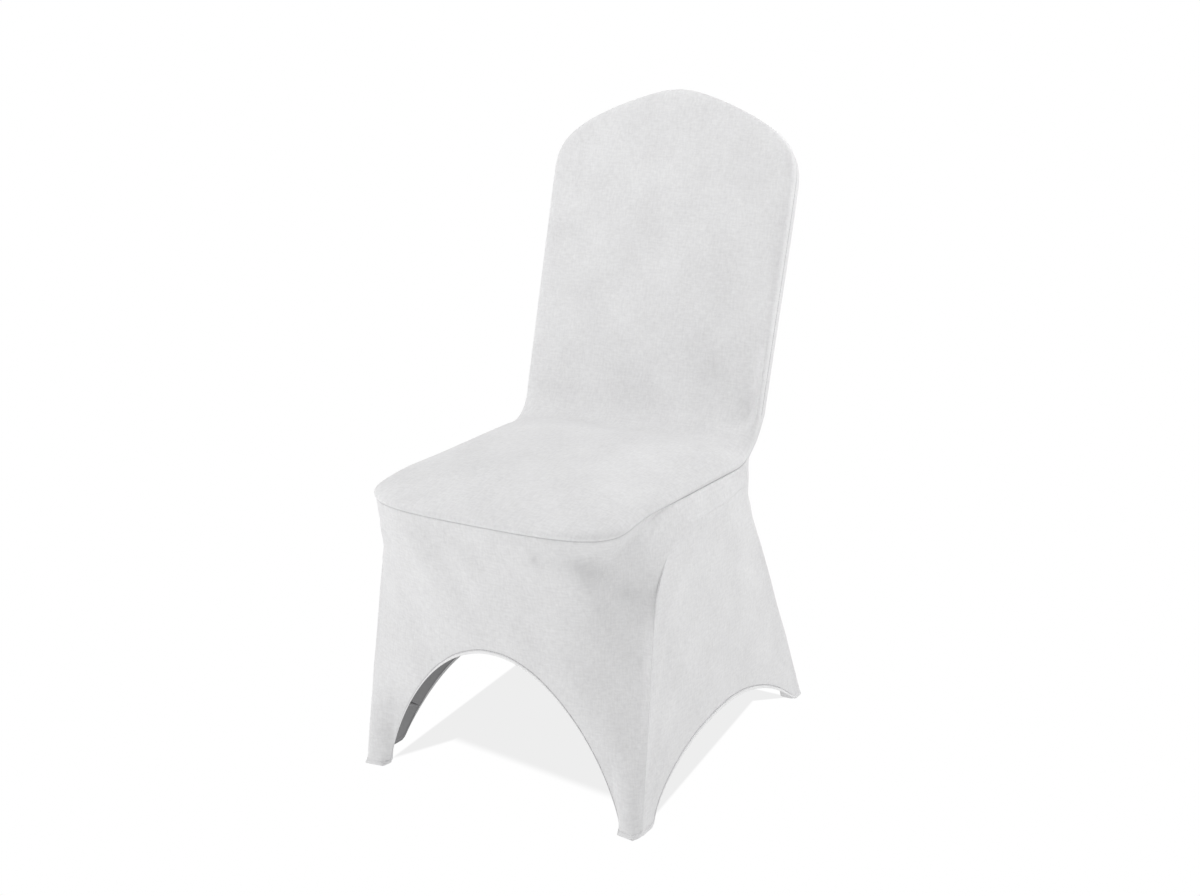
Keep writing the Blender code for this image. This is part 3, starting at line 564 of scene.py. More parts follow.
# Front skirt
# Sewn under the seat's rolled edge. It covers the front, wraps both front legs and
# ends as a narrow band beside the seat, along the ridge that the leg tube and the seat
# rail raise under the cloth. Its arched hem is turned up and stitched.
FRONT_FOOT_OUT, FRONT_LEG_IN, RIDGE_FOOT_Y = 0.2245, 0.041, -0.2375
RIDGE_CORNER, RIDGE_BEND, RAIL_END = (-0.171, 0.382), 0.115, (0.1985, 0.1135, 0.388)
LEG_INSIDE, LEG_FRONT, HEM_Z = (0.1932, -0.2490), (0.2190, -0.2525), 0.0012
FRONT_ARCH_HALF, FRONT_ARCH_Z, FRONT_ARCH_Y, FRONT_HEM_FOOT_Y = 0.1905, 0.212, -0.2480, -0.2340
ARCH_FULL, HEM_TURN = 0.74, 0.181
SKIRT_CUTS = ((0, 0.152), (0, 0.176), (0, 0.184), (1, -0.145))
HEM_COUNTS = (61, 29, 9)  # columns along the arch, down the leg and across the foot
UNDERCUT, HOLLOW, LEG_HOLLOW = 0.011, 0.0025, 0.0035
SWEEP_POWER, SWEEP_LEVELS, SKIRT_ROUNDS = 2.7, (0.045, 0.120, 0.255, 0.370), 90
FRONT_FOLDS = (
    # x0, z0, x1, z1, half_width, depth
    (0.080, 0.3810, 0.178, 0.3925, 0.0042, -0.0040),
    (0.095, 0.3720, 0.168, 0.3800, 0.0110, 0.0070),
    (0.171, 0.3790, 0.196, 0.3220, 0.0230, 0.0245),
    (0.190, 0.3000, 0.204, 0.2300, 0.0240, 0.0070),
    (-0.075, 0.3850, -0.035, 0.3050, 0.0190, 0.0032),
    (-0.020, 0.3750, 0.030, 0.3050, 0.0240, 0.0024),
    (-0.120, 0.3800, -0.090, 0.3100, 0.0130, -0.0016),
    (-0.190, 0.3780, -0.150, 0.3650, 0.0100, 0.0018),
    (-0.050, 0.2350, 0.060, 0.2350, 0.0160, -0.0022),
    (0.100, 0.2500, 0.150, 0.1600, 0.0200, -0.0018),
    (0.200, 0.0200, 0.202, 0.0650, 0.0045, 0.0012),
)

# Distances of the rows next to a hem, and next to a seam
HEM_STEPS = np.array((
    0.0, 0.0006, 0.0013, 0.0022, 0.0034, 0.0046, 0.0054, 0.0060, 0.0066, 0.0072, 0.0080, 0.0092, 0.0110))
SEAM_STEPS = np.array((0.0, 0.0006, 0.0013, 0.0022, 0.0032, 0.0044, 0.0060, 0.0080))

SEAM_LINE = lift(*edge_place(rim(np.linspace(0.0, RUN[-1], 900)), 5))
SEAT_SEAM = SEAM_LINE[:560]
JOIN = int(np.argmin(np.abs(SEAT_SEAM[:, 1] - (RAIL_END[1] - 0.001))))


def leg_and_rail():
    """Ridge over the bent leg tube and the seat rail, from the front foot to the rear."""
    foot, corner, end = (np.array(place) for place in ((RIDGE_FOOT_Y, HEM_Z), RIDGE_CORNER, RAIL_END[1:]))
    into = (corner - foot) / np.linalg.norm(corner - foot)
    away = (end - corner) / np.linalg.norm(end - corner)
    turn = math.acos(float(np.dot(into, away)))
    reach = RIDGE_BEND * math.tan(turn / 2)
    centre = corner - into * reach + np.array((into[1], -into[0])) * RIDGE_BEND
    first = corner - into * reach - centre
    angle = np.linspace(0.0, -turn, 40)
    bend = centre + np.stack((np.cos(angle) * first[0] - np.sin(angle) * first[1],
                              np.sin(angle) * first[0] + np.cos(angle) * first[1]), axis=1)
    share = np.linspace(0.0, 1.0, 40)[:, None]
    leg, rail = foot + (bend[0] - foot) * share, bend[-1] + (end - bend[-1]) * share
    path = np.concatenate((leg[:-1], bend, rail[1:]))
    outer = FRONT_FOOT_OUT - FRONT_LEG_IN * path[:, 1]
    outer = outer + (RAIL_END[0] - outer) * smooth(path[:, 0], 0.02, RAIL_END[1])
    return np.column_stack((outer, path))


def arch(half, top, count):
    """Half widths and heights of an arched hem from its middle to its foot."""
    across = half * np.sin(np.linspace(0.0, math.pi / 2, count))
    share = np.clip(1.0 - (across / half) ** 2, 0.0, 1.0)
    return across, np.maximum(top * share ** ARCH_FULL, HEM_Z)


def space_rows(grid, low_steps, high_steps, middle):
    """The grid with its rows moved to set distances from both ends, evenly spaced between."""
    count = len(low_steps) + middle + len(high_steps)
    out = np.empty((count, grid.shape[1], grid.shape[2]))
    for i in range(grid.shape[1]):
        run = lengths(grid[:, i])
        shrink = min(1.0, 0.7 * run[-1] / (low_steps[-1] + high_steps[-1]))
        low, high = low_steps * shrink, run[-1] - high_steps[::-1] * shrink
        between = np.linspace(low[-1], high[0], middle + 2)[1:-1]
        out[:, i] = along(grid[:, i], np.concatenate((low, between, high)))
    return out


def round_edge(points, line, inward, radius, inset):
    """Round the points off next to a line where two pieces meet at an angle."""
    run = lengths(line)
    fine = np.linspace(0.0, run[-1], 1200)
    samples = along(line, fine)
    pull = np.stack(columns_at(fine, run, inward), axis=1)
    flat = points.reshape(-1, 3).copy()
    close = np.nonzero((flat > line.min(0) - radius).all(1) & (flat < line.max(0) + radius).all(1))[0]
    for part in np.array_split(close, max(1, len(close) // 2000)):
        away = np.linalg.norm(flat[part, None] - samples[None], axis=2)
        best = away.argmin(1)
        share = np.clip(1.0 - away[np.arange(len(part)), best] / radius, 0.0, 1.0)
        flat[part] += pull[best] * (inset * share ** 2)[:, None]
    return flat.reshape(points.shape)


def round_both(grid, line, inward, size):
    """The same rounding on the right and on the left."""
    for mirror in (np.ones(3), np.array((-1.0, 1.0, 1.0))):
        grid = round_edge(grid, line * mirror, inward * mirror, *size)
    return grid


def unroll(grid):
    """Flat pattern of a grid: each point's length along the first row and up its column."""
    up, across = (np.linalg.norm(np.diff(grid, axis=axis), axis=2) for axis in (0, 1))
    up = np.concatenate((np.zeros((1, grid.shape[1])), np.cumsum(up, axis=0)))
    across = np.concatenate(((0.0,), np.cumsum(across.mean(0))))
    return np.broadcast_to(across, up.shape), up


def band(away, run):
    """How far a turned-up hem stands out, and its sewn line, by distance from the edge."""
    wide = 0.0062 + ripple(run, (0.11, 0.0003, 0.4), (0.037, 0.0002, 2.0))
    stand = 0.0007 * smooth(away, 0.0, 0.0014) * (1.0 - smooth(away, wide - 0.0012, wide))
    line = np.exp(-(((away - wide) / 0.0006) ** 2))
    return stand - 0.0005 * line, line


RIDGE = leg_and_rail()
RIDGE_TURN = reaches(RIDGE, 2, 0.36)
LEG_PART = along(RIDGE, np.linspace(0.0, RIDGE_TURN, 71))
RAIL_PART = along(RIDGE, np.linspace(RIDGE_TURN, lengths(RIDGE)[-1], 73))


def front_hem():
    """Front hem from the middle to the inside of the leg."""
    across, height = arch(FRONT_ARCH_HALF, FRONT_ARCH_Z, 200)
    depth = FRONT_ARCH_Y + (FRONT_HEM_FOOT_Y - FRONT_ARCH_Y) * (across / FRONT_ARCH_HALF) ** 2
    return np.column_stack((across, depth, height))


def swept(grid):
    """The grid moved back onto the smooth section from the hem to the leg's ridge."""
    x, y, z = np.abs(grid[..., 0]), grid[..., 1], grid[..., 2]
    low, low_end, high, high_end = SWEEP_LEVELS
    share = smooth(z, low, low_end) * (1.0 - smooth(z, high, high_end))
    ridge_x, ridge_y = columns_at(z, LEG_PART[:, 2], LEG_PART[:, :2])
    hem = front_hem()[::-1]
    hem_x, hem_y = columns_at(z, hem[:, 2], hem[:, :2])
    above = np.maximum(z - FRONT_ARCH_Z, 0.0) / (SEAM_LINE[0, 2] - FRONT_ARCH_Z)
    start_y = hem_y + (SEAM_LINE[0, 1] - hem_y) * above
    across = np.clip((x - hem_x) / (ridge_x - hem_x), 0.0, 1.0)
    wanted = start_y + (ridge_y - start_y) * across ** SWEEP_POWER
    moved = grid.copy()
    moved[..., 1] += share * np.maximum(wanted - y, 0.0) * (y < ridge_y)
    return moved


def skirt_edges():
    """Seam and lower edge of the front skirt, right half, as matched columns."""
    upper, hem = SEAM_LINE[:JOIN + 1], front_hem()
    foot = np.array(((*LEG_INSIDE, HEM_Z), (*LEG_FRONT, HEM_Z), RIDGE[0]))
    turn = reaches(hem, 0, HEM_TURN)
    down = np.concatenate((along(hem, np.array((turn,))), hem[hem[:, 0] > HEM_TURN], foot[:2]))
    arch_part = along(hem, np.linspace(0.0, turn, HEM_COUNTS[0]))
    low = (arch_part, whole(down, HEM_COUNTS[1]), whole(foot[1:], HEM_COUNTS[2]), LEG_PART, RAIL_PART)
    cuts = [0.0] + [reaches(upper, axis, value) for axis, value in SKIRT_CUTS] + [lengths(upper)[-1]]
    high = [along(upper, np.linspace(a, b, len(part))) for a, b, part in zip(cuts[:-1], cuts[1:], low)]
    join = [np.concatenate([parts[0]] + [part[1:] for part in parts[1:]]) for parts in (high, low)]
    return [np.concatenate((flip_x(part)[::-1], part[1:])) for part in join]


# How far the cloth over the left front leg stands out past its solid, as in the photo:
# where its outer edge lies along the slant, over what width it is drawn out, and by how much
LEFT_LEG = np.array((
    # z, edge, width, out
    (0.000, 0.3126, 0.026, 0.0030),
    (0.024, 0.3120, 0.026, 0.0052),
    (0.045, 0.3095, 0.028, 0.0056),
    (0.067, 0.3068, 0.029, 0.0070),
    (0.089, 0.3035, 0.030, 0.0096),
    (0.132, 0.2980, 0.040, 0.0118),
    (0.176, 0.2922, 0.050, 0.0126),
    (0.220, 0.2868, 0.060, 0.0142),
    (0.263, 0.2812, 0.060, 0.0156),
    (0.285, 0.2790, 0.060, 0.0156),
    (0.307, 0.2785, 0.055, 0.0105),
    (0.329, 0.2815, 0.050, 0.0020),
    (0.345, 0.2835, 0.050, 0.0000),
))
LEFT_LEG_SLANT, LEFT_LEG_WAY = np.array((-0.858, -0.513, 0.0)), np.array((-0.95, -0.30, 0.0))


def drawn_left(points):
    """Points near the outer edge of the left front leg, drawn outwards."""
    edge, width, out = columns_at(points[..., 2], LEFT_LEG[:, 0], LEFT_LEG[:, 1:])
    near = smooth(points @ LEFT_LEG_SLANT, edge - width, edge)
    return points + LEFT_LEG_WAY * (near * out)[..., None]


def skirt_grid():
    """The stretched cloth between the seam and the hem or the ridge, hem row first."""
    top, bottom = skirt_edges()
    v = np.linspace(1.0, 0.0, 120)[:, None]
    grid = swept(top[None] + (bottom - top)[None] * v[:, :, None])
    length = np.linalg.norm(bottom - top, axis=1)[None]
    corner = smooth(np.abs(grid[..., 0]), 0.10, 0.19) * (1.0 - smooth(grid[..., 1], -0.22, -0.06))
    corner = corner * np.where(grid[..., 0] > 0.0, 1.0, 0.2)
    fall = UNDERCUT * corner * np.exp(-(((v - 0.10) / 0.10) ** 2)) * smooth(v, 0.0, 0.08)
    fall = fall + (HOLLOW + LEG_HOLLOW * corner) * np.sin(math.pi * v) * np.minimum(1.0, length / 0.15)
    inward = np.array((0.0, -0.10, 0.0)) - grid
    inward[..., 2] = 0.0
    inward /= np.linalg.norm(inward, axis=2)[..., None]
    grid = grid + inward * fall[..., None]
    loose = 0.2 * smooth(length, 0.04, 0.12)[:, 1:-1, None]
    for _ in range(SKIRT_ROUNDS):
        across = grid[1:-1, :-2] + grid[1:-1, 2:] - 2.0 * grid[1:-1, 1:-1]
        upward = grid[:-2, 1:-1] + grid[2:, 1:-1] - 2.0 * grid[1:-1, 1:-1]
        grid[1:-1, 1:-1] += loose * (across + upward)
    crease = folds(grid[..., 0], grid[..., 2], FRONT_FOLDS) * smooth(-grid[..., 1], 0.17, 0.21)
    return grid + inward * (crease * np.minimum(1.0, 3.0 * np.sin(math.pi * v)))[..., None]


# Rear leg line, the outer corner of the raked leg, and the side hem between the feet
REAR_LEG = np.array((
    # x, y, z
    RAIL_END,
    (0.1975, 0.1190, 0.360),
    (0.1995, 0.1355, 0.333),
    (0.2040, 0.1592, 0.281),
    (0.2070, 0.1852, 0.228),
    (0.2095, 0.2100, 0.174),
    (0.2120, 0.2398, 0.117),
    (0.2140, 0.2665, 0.060),
    (0.2170, 0.2935, HEM_Z),
))
SIDE_ARCH_Z, SIDE_ARCH_TOP_Y, SIDE_ARCH_REAR_Y, SIDE_ARCH_REAR_FULL = 0.0885, 0.020, 0.268, 1.0
RIGHT_HEM_FRONT, LEFT_HEM_FRONT = (-0.205, 0.60), (-0.163, 0.90)


def side_hem(count, front_y, front_full):
    """Arched hem of a side panel, from the front foot to the rear foot."""
    share = -np.cos(np.linspace(0.0, math.pi, 121))
    half = np.where(share < 0, SIDE_ARCH_TOP_Y - front_y, SIDE_ARCH_REAR_Y - SIDE_ARCH_TOP_Y)
    full = np.where(share < 0, front_full, SIDE_ARCH_REAR_FULL)
    y = SIDE_ARCH_TOP_Y + share * half
    z = SIDE_ARCH_Z * np.maximum(1.0 - share ** 2, 0.0) ** full
    path = np.column_stack((0.0 * y, y, np.maximum(z, HEM_Z)))
    path = np.concatenate((RIDGE[:1], path, REAR_LEG[-1:]))
    along_y = (path[:, 1] - RIDGE_FOOT_Y) / (REAR_LEG[-1, 1] - RIDGE_FOOT_Y)
    path[:, 0] = FRONT_FOOT_OUT + (REAR_LEG[-1, 0] - FRONT_FOOT_OUT) * along_y - 0.03 * path[:, 2]
    return whole(path, count)


skirt = skirt_grid()
rear_line = whole(REAR_LEG[::-1], len(LEG_PART))
side = coons(side_hem(len(RAIL_PART), *RIGHT_HEM_FRONT), RAIL_PART, LEG_PART, rear_line)


def bisector(edge, one, two):
    """Direction that points from a shared edge in between the two pieces next to it."""
    directions = [(part - edge) / np.linalg.norm(part - edge, axis=1)[:, None] for part in (one, two)]
    total = directions[0] + directions[1]
    return total / np.maximum(np.linalg.norm(total, axis=1), 0.3)[:, None]


ridge_line = np.concatenate((LEG_PART, RAIL_PART[1:]))
skirt_next = skirt[3, -len(ridge_line):]
side_next = np.concatenate((side[:, 2], side[-3, 1:]))
RIDGE_IN = bisector(ridge_line, skirt_next, side_next)
RIDGE_IN[-8:] *= np.linspace(1.0, 0.2, 8)[:, None]
turn_at, around = len(LEG_PART) - 1, 16
blend = np.linspace(0.0, 1.0, 2 * around + 1)[:, None]
RIDGE_IN[turn_at - around:turn_at + around + 1] = (
    RIDGE_IN[turn_at - around] * (1.0 - blend) + RIDGE_IN[turn_at + around] * blend)
RIDGE_ROUND, REAR_ROUND = (0.0060, 0.0016), (0.0070, 0.0018)

grid = round_both(space_rows(skirt, HEM_STEPS, SEAM_STEPS, 46), ridge_line, RIDGE_IN, RIDGE_ROUND)
rows, cols = grid.shape[:2]
points, quads = grid.reshape(-1, 3), grid_quads(rows, cols)
run, away = unroll(grid)
from_seam = away[-1:] - away
ridge_from = cols // 2 + sum(HEM_COUNTS) - len(HEM_COUNTS)
hemmed = np.zeros(cols)
hemmed[cols - 1 - ridge_from:ridge_from + 1] = 1.0
near_floor = smooth(grid[:1, :, 2], 0.003, 0.020)
stand, line = band(away, run)
seam_line = np.exp(-((from_seam / 0.0009) ** 2))
pucker = ripple(run, (0.021, 0.00022, 0.0), (0.0134, 0.00016, 1.7), (0.047, 0.0003, 0.6))
welt = (0.0005 + pucker) * np.exp(-(((from_seam - 0.0042) / 0.0028) ** 2))
height = stand * hemmed + welt - 0.0007 * seam_line
sewn = np.maximum(line * near_floor * hemmed, 0.6 * seam_line)
# Painted highlight: a lighter band a few millimetres wide along the doubled hem's rolled edge
doubled_hem_highlight = hemmed * smooth(-away, -0.0050, -0.0030) * near_floor
sewn = np.where(sewn > 0.05, sewn, -doubled_hem_highlight).ravel()
around = points[:, 0] + np.sign(points[:, 0]) * np.maximum(points[:, 1] + 0.24, 0.0)
pattern = np.column_stack((around, points[:, 2]))
points = drawn_left(points + outward(points, quads) * height.ravel()[:, None])
front_skirt = make_sheet("front_skirt_cloth", points, quads, pattern, sewn, white_cloth)
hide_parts("front_skirt")


# Side panels
# One flat panel each side, held between the front leg, the seat rail and the rear leg,
# with an arched hem that is turned up and stitched.
SIDE_FOLDS = (
    # y0, z0, y1, z1, half_width, depth
    (0.262, 0.1000, 0.255, 0.0600, 0.0070, 0.0014),
    (0.250, 0.1500, 0.278, 0.0450, 0.0120, -0.0012),
    (0.195, 0.0980, 0.262, 0.0420, 0.0060, 0.0012),
    (-0.212, 0.0500, -0.120, 0.1700, 0.0100, 0.0016),
    (-0.214, 0.0600, -0.060, 0.2600, 0.0140, -0.0014),
    (-0.216, 0.0750, -0.150, 0.2500, 0.0110, 0.0012),
    (-0.150, 0.2800, -0.080, 0.3500, 0.0160, -0.0016),
    (0.020, 0.3300, 0.150, 0.2400, 0.0220, 0.0014),
)


def build_side(name, sign, rear_in):
    """The panel's points, rounded off at the ridge and the rear leg."""
    hem_front = RIGHT_HEM_FRONT if sign > 0 else LEFT_HEM_FRONT
    grid = coons(side_hem(len(RAIL_PART), *hem_front), RAIL_PART, LEG_PART, rear_line)
    grid = space_rows(grid, HEM_STEPS, SEAM_STEPS, 50)
    grid = np.swapaxes(space_rows(np.swapaxes(grid, 0, 1), SEAM_STEPS, SEAM_STEPS, 80), 0, 1)
    grid = round_edge(grid, ridge_line, RIDGE_IN, *RIDGE_ROUND)
    grid = round_edge(grid, rear_line, rear_in, *REAR_ROUND)
    points, quads = grid.reshape(-1, 3), grid_quads(*grid.shape[:2])
    run, away = unroll(grid)
    stand, line = band(away, run)
    ends = smooth(run, 0.0, 0.012) * smooth(run[0, -1] - run, 0.0, 0.012)
    inner = ends * smooth(away[-1:] - away, 0.0, 0.010)
    height = stand * ends - inner * folds(grid[..., 1], grid[..., 2], SIDE_FOLDS)
    pattern = points[:, 1:]
    points = points + outward(points, quads) * height.ravel()[:, None]
    near_floor = smooth(grid[:1, :, 2], 0.003, 0.020)
    # Below zero: the painted highlight along the doubled hem's rolled edge
    sewn = np.where(line > 0.05, line, -smooth(-away, -0.0050, -0.0030)) * near_floor
    if sign < 0:
        points, quads = drawn_left(flip_x(points)), quads[:, ::-1]
    return make_sheet(name, points, quads, pattern, sewn.ravel(), white_cloth)


# Outside back
# One piece from the crown seam down the rear of the chair to the rear feet, stretched
# straight between the back's edge and an arched hem. Its sides meet the side panels
# along the rear legs and the front skirt's bands at the seat's rear corners.
REAR_EDGE_ROWS = np.array((
    # inward, depth
    (0.0220, 0.0450),
    (0.0100, 0.0432),
    (0.0030, 0.0385),
    (0.0006, 0.0310),
    (0.0002, 0.0216),
))
REAR_ARCH_HALF, REAR_ARCH_Z, REAR_ARCH_Y, REAR_DRAW_FROM = 0.180, 0.200, 0.226, 0.30


def rear_place(rims, row):
    """Points of the back's rear edge on one row, as (s, t, depth)."""
    s, t, out_s, out_t = rims.T
    inward, depth = between_rows(REAR_EDGE_ROWS, row)
    roll = float(smooth(depth, REAR_EDGE_ROWS[-1][1] - 0.004, REAR_EDGE_ROWS[-2][1] + 0.002))
    inward = inward + back_taper(t) + CROWN_ROLL * np.maximum(out_t, 0.0) * roll
    return s - out_s * inward, t - out_t * inward, depth + 0.0 * s


def rear_hem(count):
    """Rear hem from the left foot over the arch to the right foot."""
    across, height = arch(REAR_ARCH_HALF, REAR_ARCH_Z, 200)
    depth = REAR_ARCH_Y + (REAR_LEG[-1, 1] - 0.003 - REAR_ARCH_Y) * (across / REAR_ARCH_HALF) ** 1.6
    half = np.concatenate((np.column_stack((across, depth, height)), REAR_LEG[-1:]))
    half = whole(half, count // 2 + 1)
    return np.concatenate((flip_x(half)[::-1], half[1:]))


def hung(top, bottom, right):
    """Cloth hung straight from one row to another, drawn in to a line at each side."""
    share = ((right[0, 2] - right[:, 2]) / (right[0, 2] - right[-1, 2]))[:, None, None]
    across = np.linspace(-1.0, 1.0, len(top))
    reach = smooth(np.abs(across), REAR_DRAW_FROM, 1.0)[None, :, None]
    sides = np.where(across[:, None] < 0, np.array((-1.0, 1.0, 1.0)), 1.0)[None]
    rows = top[None] + (bottom - top)[None] * share
    return rows + reach * sides * (right[:, None] - rows[:, -1:])


def build_outside_back():
    """The sheet's points: a grid over the rear face, rows over its edge, and the skirt below."""
    straight = slice(QUARTER, 2 * QUARTER - 2)
    start_run = float(np.interp(T_BACK + 0.004, OUTLINE[straight, 1], RUN[straight]))
    side_rim = rim(np.linspace(start_run, TOP_RUN, UP_REAR))
    top_rim = rim(np.linspace(TOP_RUN, RUN[-1], ACROSS))
    inner = [np.stack(rear_place(part, 0)[:2], axis=1) for part in (side_rim, top_rim)]
    top_row = np.concatenate((flip_x(inner[1]), inner[1][::-1][1:]))
    half_width, lowest = inner[0][0]
    bottom_row = np.linspace((-half_width, lowest), (half_width, lowest), 2 * ACROSS - 1)
    grid = coons(bottom_row, top_row, flip_x(inner[0]), inner[0])
    rows, cols = grid.shape[:2]
    s, t = grid.reshape(-1, 2).T
    parts = face_parts(s, t, REAR_EDGE_ROWS[0][1])
    index = np.arange(rows * cols).reshape(rows, cols)
    face_ring = np.concatenate((index[:, -1], index[-1, -2::-1], index[-2::-1, 0]))
    path = np.concatenate((side_rim, top_rim[1:]))
    path = np.concatenate((path, path[::-1][1:] * OTHER_SIDE))
    steps = np.concatenate((np.linspace(0.0, 3.4, 15)[1:], (3.55, 3.7, 3.8, 3.88, 3.94, 4.0)))
    flat = np.stack(rear_place(path, 0)[:2], axis=1)
    rings, _ = roll_over(parts, path, flat, lambda row: lift(*rear_place(path, row)), steps, (3.86, 3.97))
    rings = [face_ring] + rings
    quads = [grid_quads(rows, cols)[:, ::-1]]
    for ring, outer in zip(rings[:-1], rings[1:]):
        quads.append(np.stack((ring[1:], outer[1:], outer[:-1], ring[:-1]), axis=1))
    right_end, left_end = [ring[0] for ring in rings], [ring[-1] for ring in rings]
    top_ids = np.array(left_end[::-1] + list(range(1, cols - 1)) + right_end)
    upper = [np.concatenate(part) for part in parts]
    top_line = upper[0][top_ids]
    seam_start = int(np.argmin(np.abs(SEAM_LINE[:, 2] - top_line[-1, 2])))
    edge = np.concatenate((SEAM_LINE[JOIN:seam_start][::-1], REAR_LEG))
    leg_from = reaches(edge, 2, RAIL_END[2])
    leg_run = np.linspace(leg_from, lengths(edge)[-1], 91)
    right = along(edge, np.concatenate((np.linspace(0.0, leg_from, 31), leg_run[1:])))
    right[0] = top_line[-1]
    patch = hung(top_line, rear_hem(len(top_ids) - 1), right)[::-1]
    return upper, np.concatenate(quads), top_ids, patch


(upper, upper_pattern, upper_sewn, upper_weight), upper_quads, top_ids, patch = build_outside_back()
patch = space_rows(patch, HEM_STEPS, np.array((0.0, 0.003)), 84)
edge = patch[:, -1]
leg_rows = np.abs(rear_line[:, None, 2] - edge[None, :, 2]).argmin(1)
rear_in = bisector(rear_line, patch[leg_rows, -4], side[:, -3])
patch = round_both(patch, rear_line, rear_in, REAR_ROUND)
run, away = unroll(patch)
stand, line = band(away, run)
flat = patch.reshape(-1, 3)
patch_quads = grid_quads(*patch.shape[:2])
patch = (flat - outward(flat, patch_quads) * stand.ravel()[:, None]).reshape(patch.shape)
below = patch[:-1][::-1]
rows, cols = below.shape[:2]
start = len(upper)
first_row = start + np.arange(cols)
first = np.stack((top_ids[:-1], top_ids[1:], first_row[1:], first_row[:-1]), axis=1)
quads = np.concatenate((upper_quads, first, grid_quads(rows, cols, start)))
points = np.concatenate((upper, below.reshape(-1, 3)))
lower_pattern = np.stack((run - run[0, -1] / 2, away - 0.6), axis=-1)[:-1][::-1]
pattern = np.concatenate((upper_pattern, lower_pattern.reshape(-1, 2)))
sewn = np.concatenate((upper_sewn, line[:-1][::-1].ravel()))
eased = np.repeat(np.exp(-np.arange(rows) / 12.0)[:, None], cols, axis=1)
eased[:, (0, -1)] = 0.0
weight = np.concatenate((upper_weight, eased.ravel()))
weight[top_ids[[0, -1]]] = 0.0
points = soften(points, quads, weight)
outside_back = make_sheet("outside_back_cloth", points, quads, pattern, sewn, white_cloth)
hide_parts("outside_back")
side_left = build_side("side_cloth_left", -1, rear_in)
side_right = build_side("side_cloth_right", 1, rear_in)
for piece, node in ((side_left, "side_skirt_left"), (side_right, "side_skirt_right")):
    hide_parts(node)


# Foot pockets
# Small closed pockets of the same cloth, doubled, sewn inside the skirt's four corners.
# The chair's leg tips stand in them.
POCKET_SIDE, POCKET_HIGH, POCKET_COUNT, POCKET_CLOTH = 0.0225, 0.030, 48, 0.0012
POCKETS = (
    # name, x, y, lean
    ("foot_pocket_front_left", -0.2060, -0.2338, 0.174),
    ("foot_pocket_front_right", 0.2060, -0.2338, 0.174),
    ("foot_pocket_rear_left", -0.2021, 0.2780, -0.45),
    ("foot_pocket_rear_right", 0.2021, 0.2780, -0.45),
)
for name, x, y, lean in POCKETS:
    angle = np.linspace(0.0, 2 * math.pi, POCKET_COUNT + 1)[:-1]
    ring = np.stack((np.cos(angle), np.sin(angle)), axis=1)
    ring = np.sign(ring) * np.abs(ring) ** 0.42 * POCKET_SIDE / 2
    levels = np.concatenate((np.linspace(POCKET_HIGH, 0.0018, 18), (0.0010, 0.0004, 0.0001, 0.0)))
    shrink = np.concatenate((np.ones(18), (0.985, 0.95, 0.88, 0.75)))
    hem = 0.0004 * np.exp(-(((POCKET_HIGH - levels - 0.003) / 0.002) ** 2))
    loops = []
    for z, wide in zip(levels, shrink + hem / 0.011):
        place = np.array((x, y + lean * z)) + ring * wide
        loops.append(np.column_stack((place, np.full(POCKET_COUNT, z))))
    points = np.concatenate(loops + [np.array(((x, y, 0.0),))])
    number = np.arange(POCKET_COUNT * len(levels)).reshape(len(levels), POCKET_COUNT)
    quads = [ring_quads(upper_loop, lower_loop) for upper_loop, lower_loop in zip(number[:-1], number[1:])]
    last = number[-1]
    centre = np.full(POCKET_COUNT // 2, len(points) - 1)
    cap = np.stack((last[::2], last[1::2], np.roll(last, -2)[::2], centre), axis=1)
    quads = np.concatenate(quads + [cap[:, ::-1]])
    turn = np.concatenate((np.tile(angle * POCKET_SIDE * 0.6, len(levels)), (0.0,)))
    pattern = np.stack((turn, points[:, 2]), axis=1)
    sewn = np.exp(-(((POCKET_HIGH - points[:, 2] - 0.0055) / 0.0006) ** 2))
    # The pocket cloth is painted a little darker, as shade
    pocket = make_sheet(name + "_cloth", points, quads, pattern, sewn, pocket_cloth_painted_shade, POCKET_CLOTH)
    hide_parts(name)


# Floor, backdrop and light
# The photo has a plain white ground that runs into a white backdrop, with one even
# grey shadow under the cover, crisp at its sides and softer in front. The light comes
# broadly from the left front and the right rear, and less from straight above.
SHADOW_LEVEL, SHADOW_EDGE, SHADOW_FRONT_EDGE = 0.855, 0.0025, 0.012
# The shadow's outline: a slope and an offset for each line, and its rear edge
SHADOW_LEFT, SHADOW_REAR = (-0.101, -0.2223), 0.273
SHADOW_RIGHT, SHADOW_RIGHT_FRONT = (-0.1185, 0.1887), (1.03, -0.0751)
SHADOW_FRONT, SHADOW_FRONT_LEFT = (-0.128, -0.142), (2.36, 0.2515)


def line_of(tree, value, slope, offset):
    """A straight line of one floor coordinate."""
    return plus(tree, times(tree, value, slope), offset)


def step(tree, value, edge):
    """Rises from 0 to 1 over a width either side of zero."""
    span = tree.nodes.new("ShaderNodeMapRange")
    span.interpolation_type = "SMOOTHSTEP"
    span.inputs["From Min"].default_value = -edge
    span.inputs["From Max"].default_value = edge
    tree.links.new(value, span.inputs["Value"])
    return span.outputs["Result"]


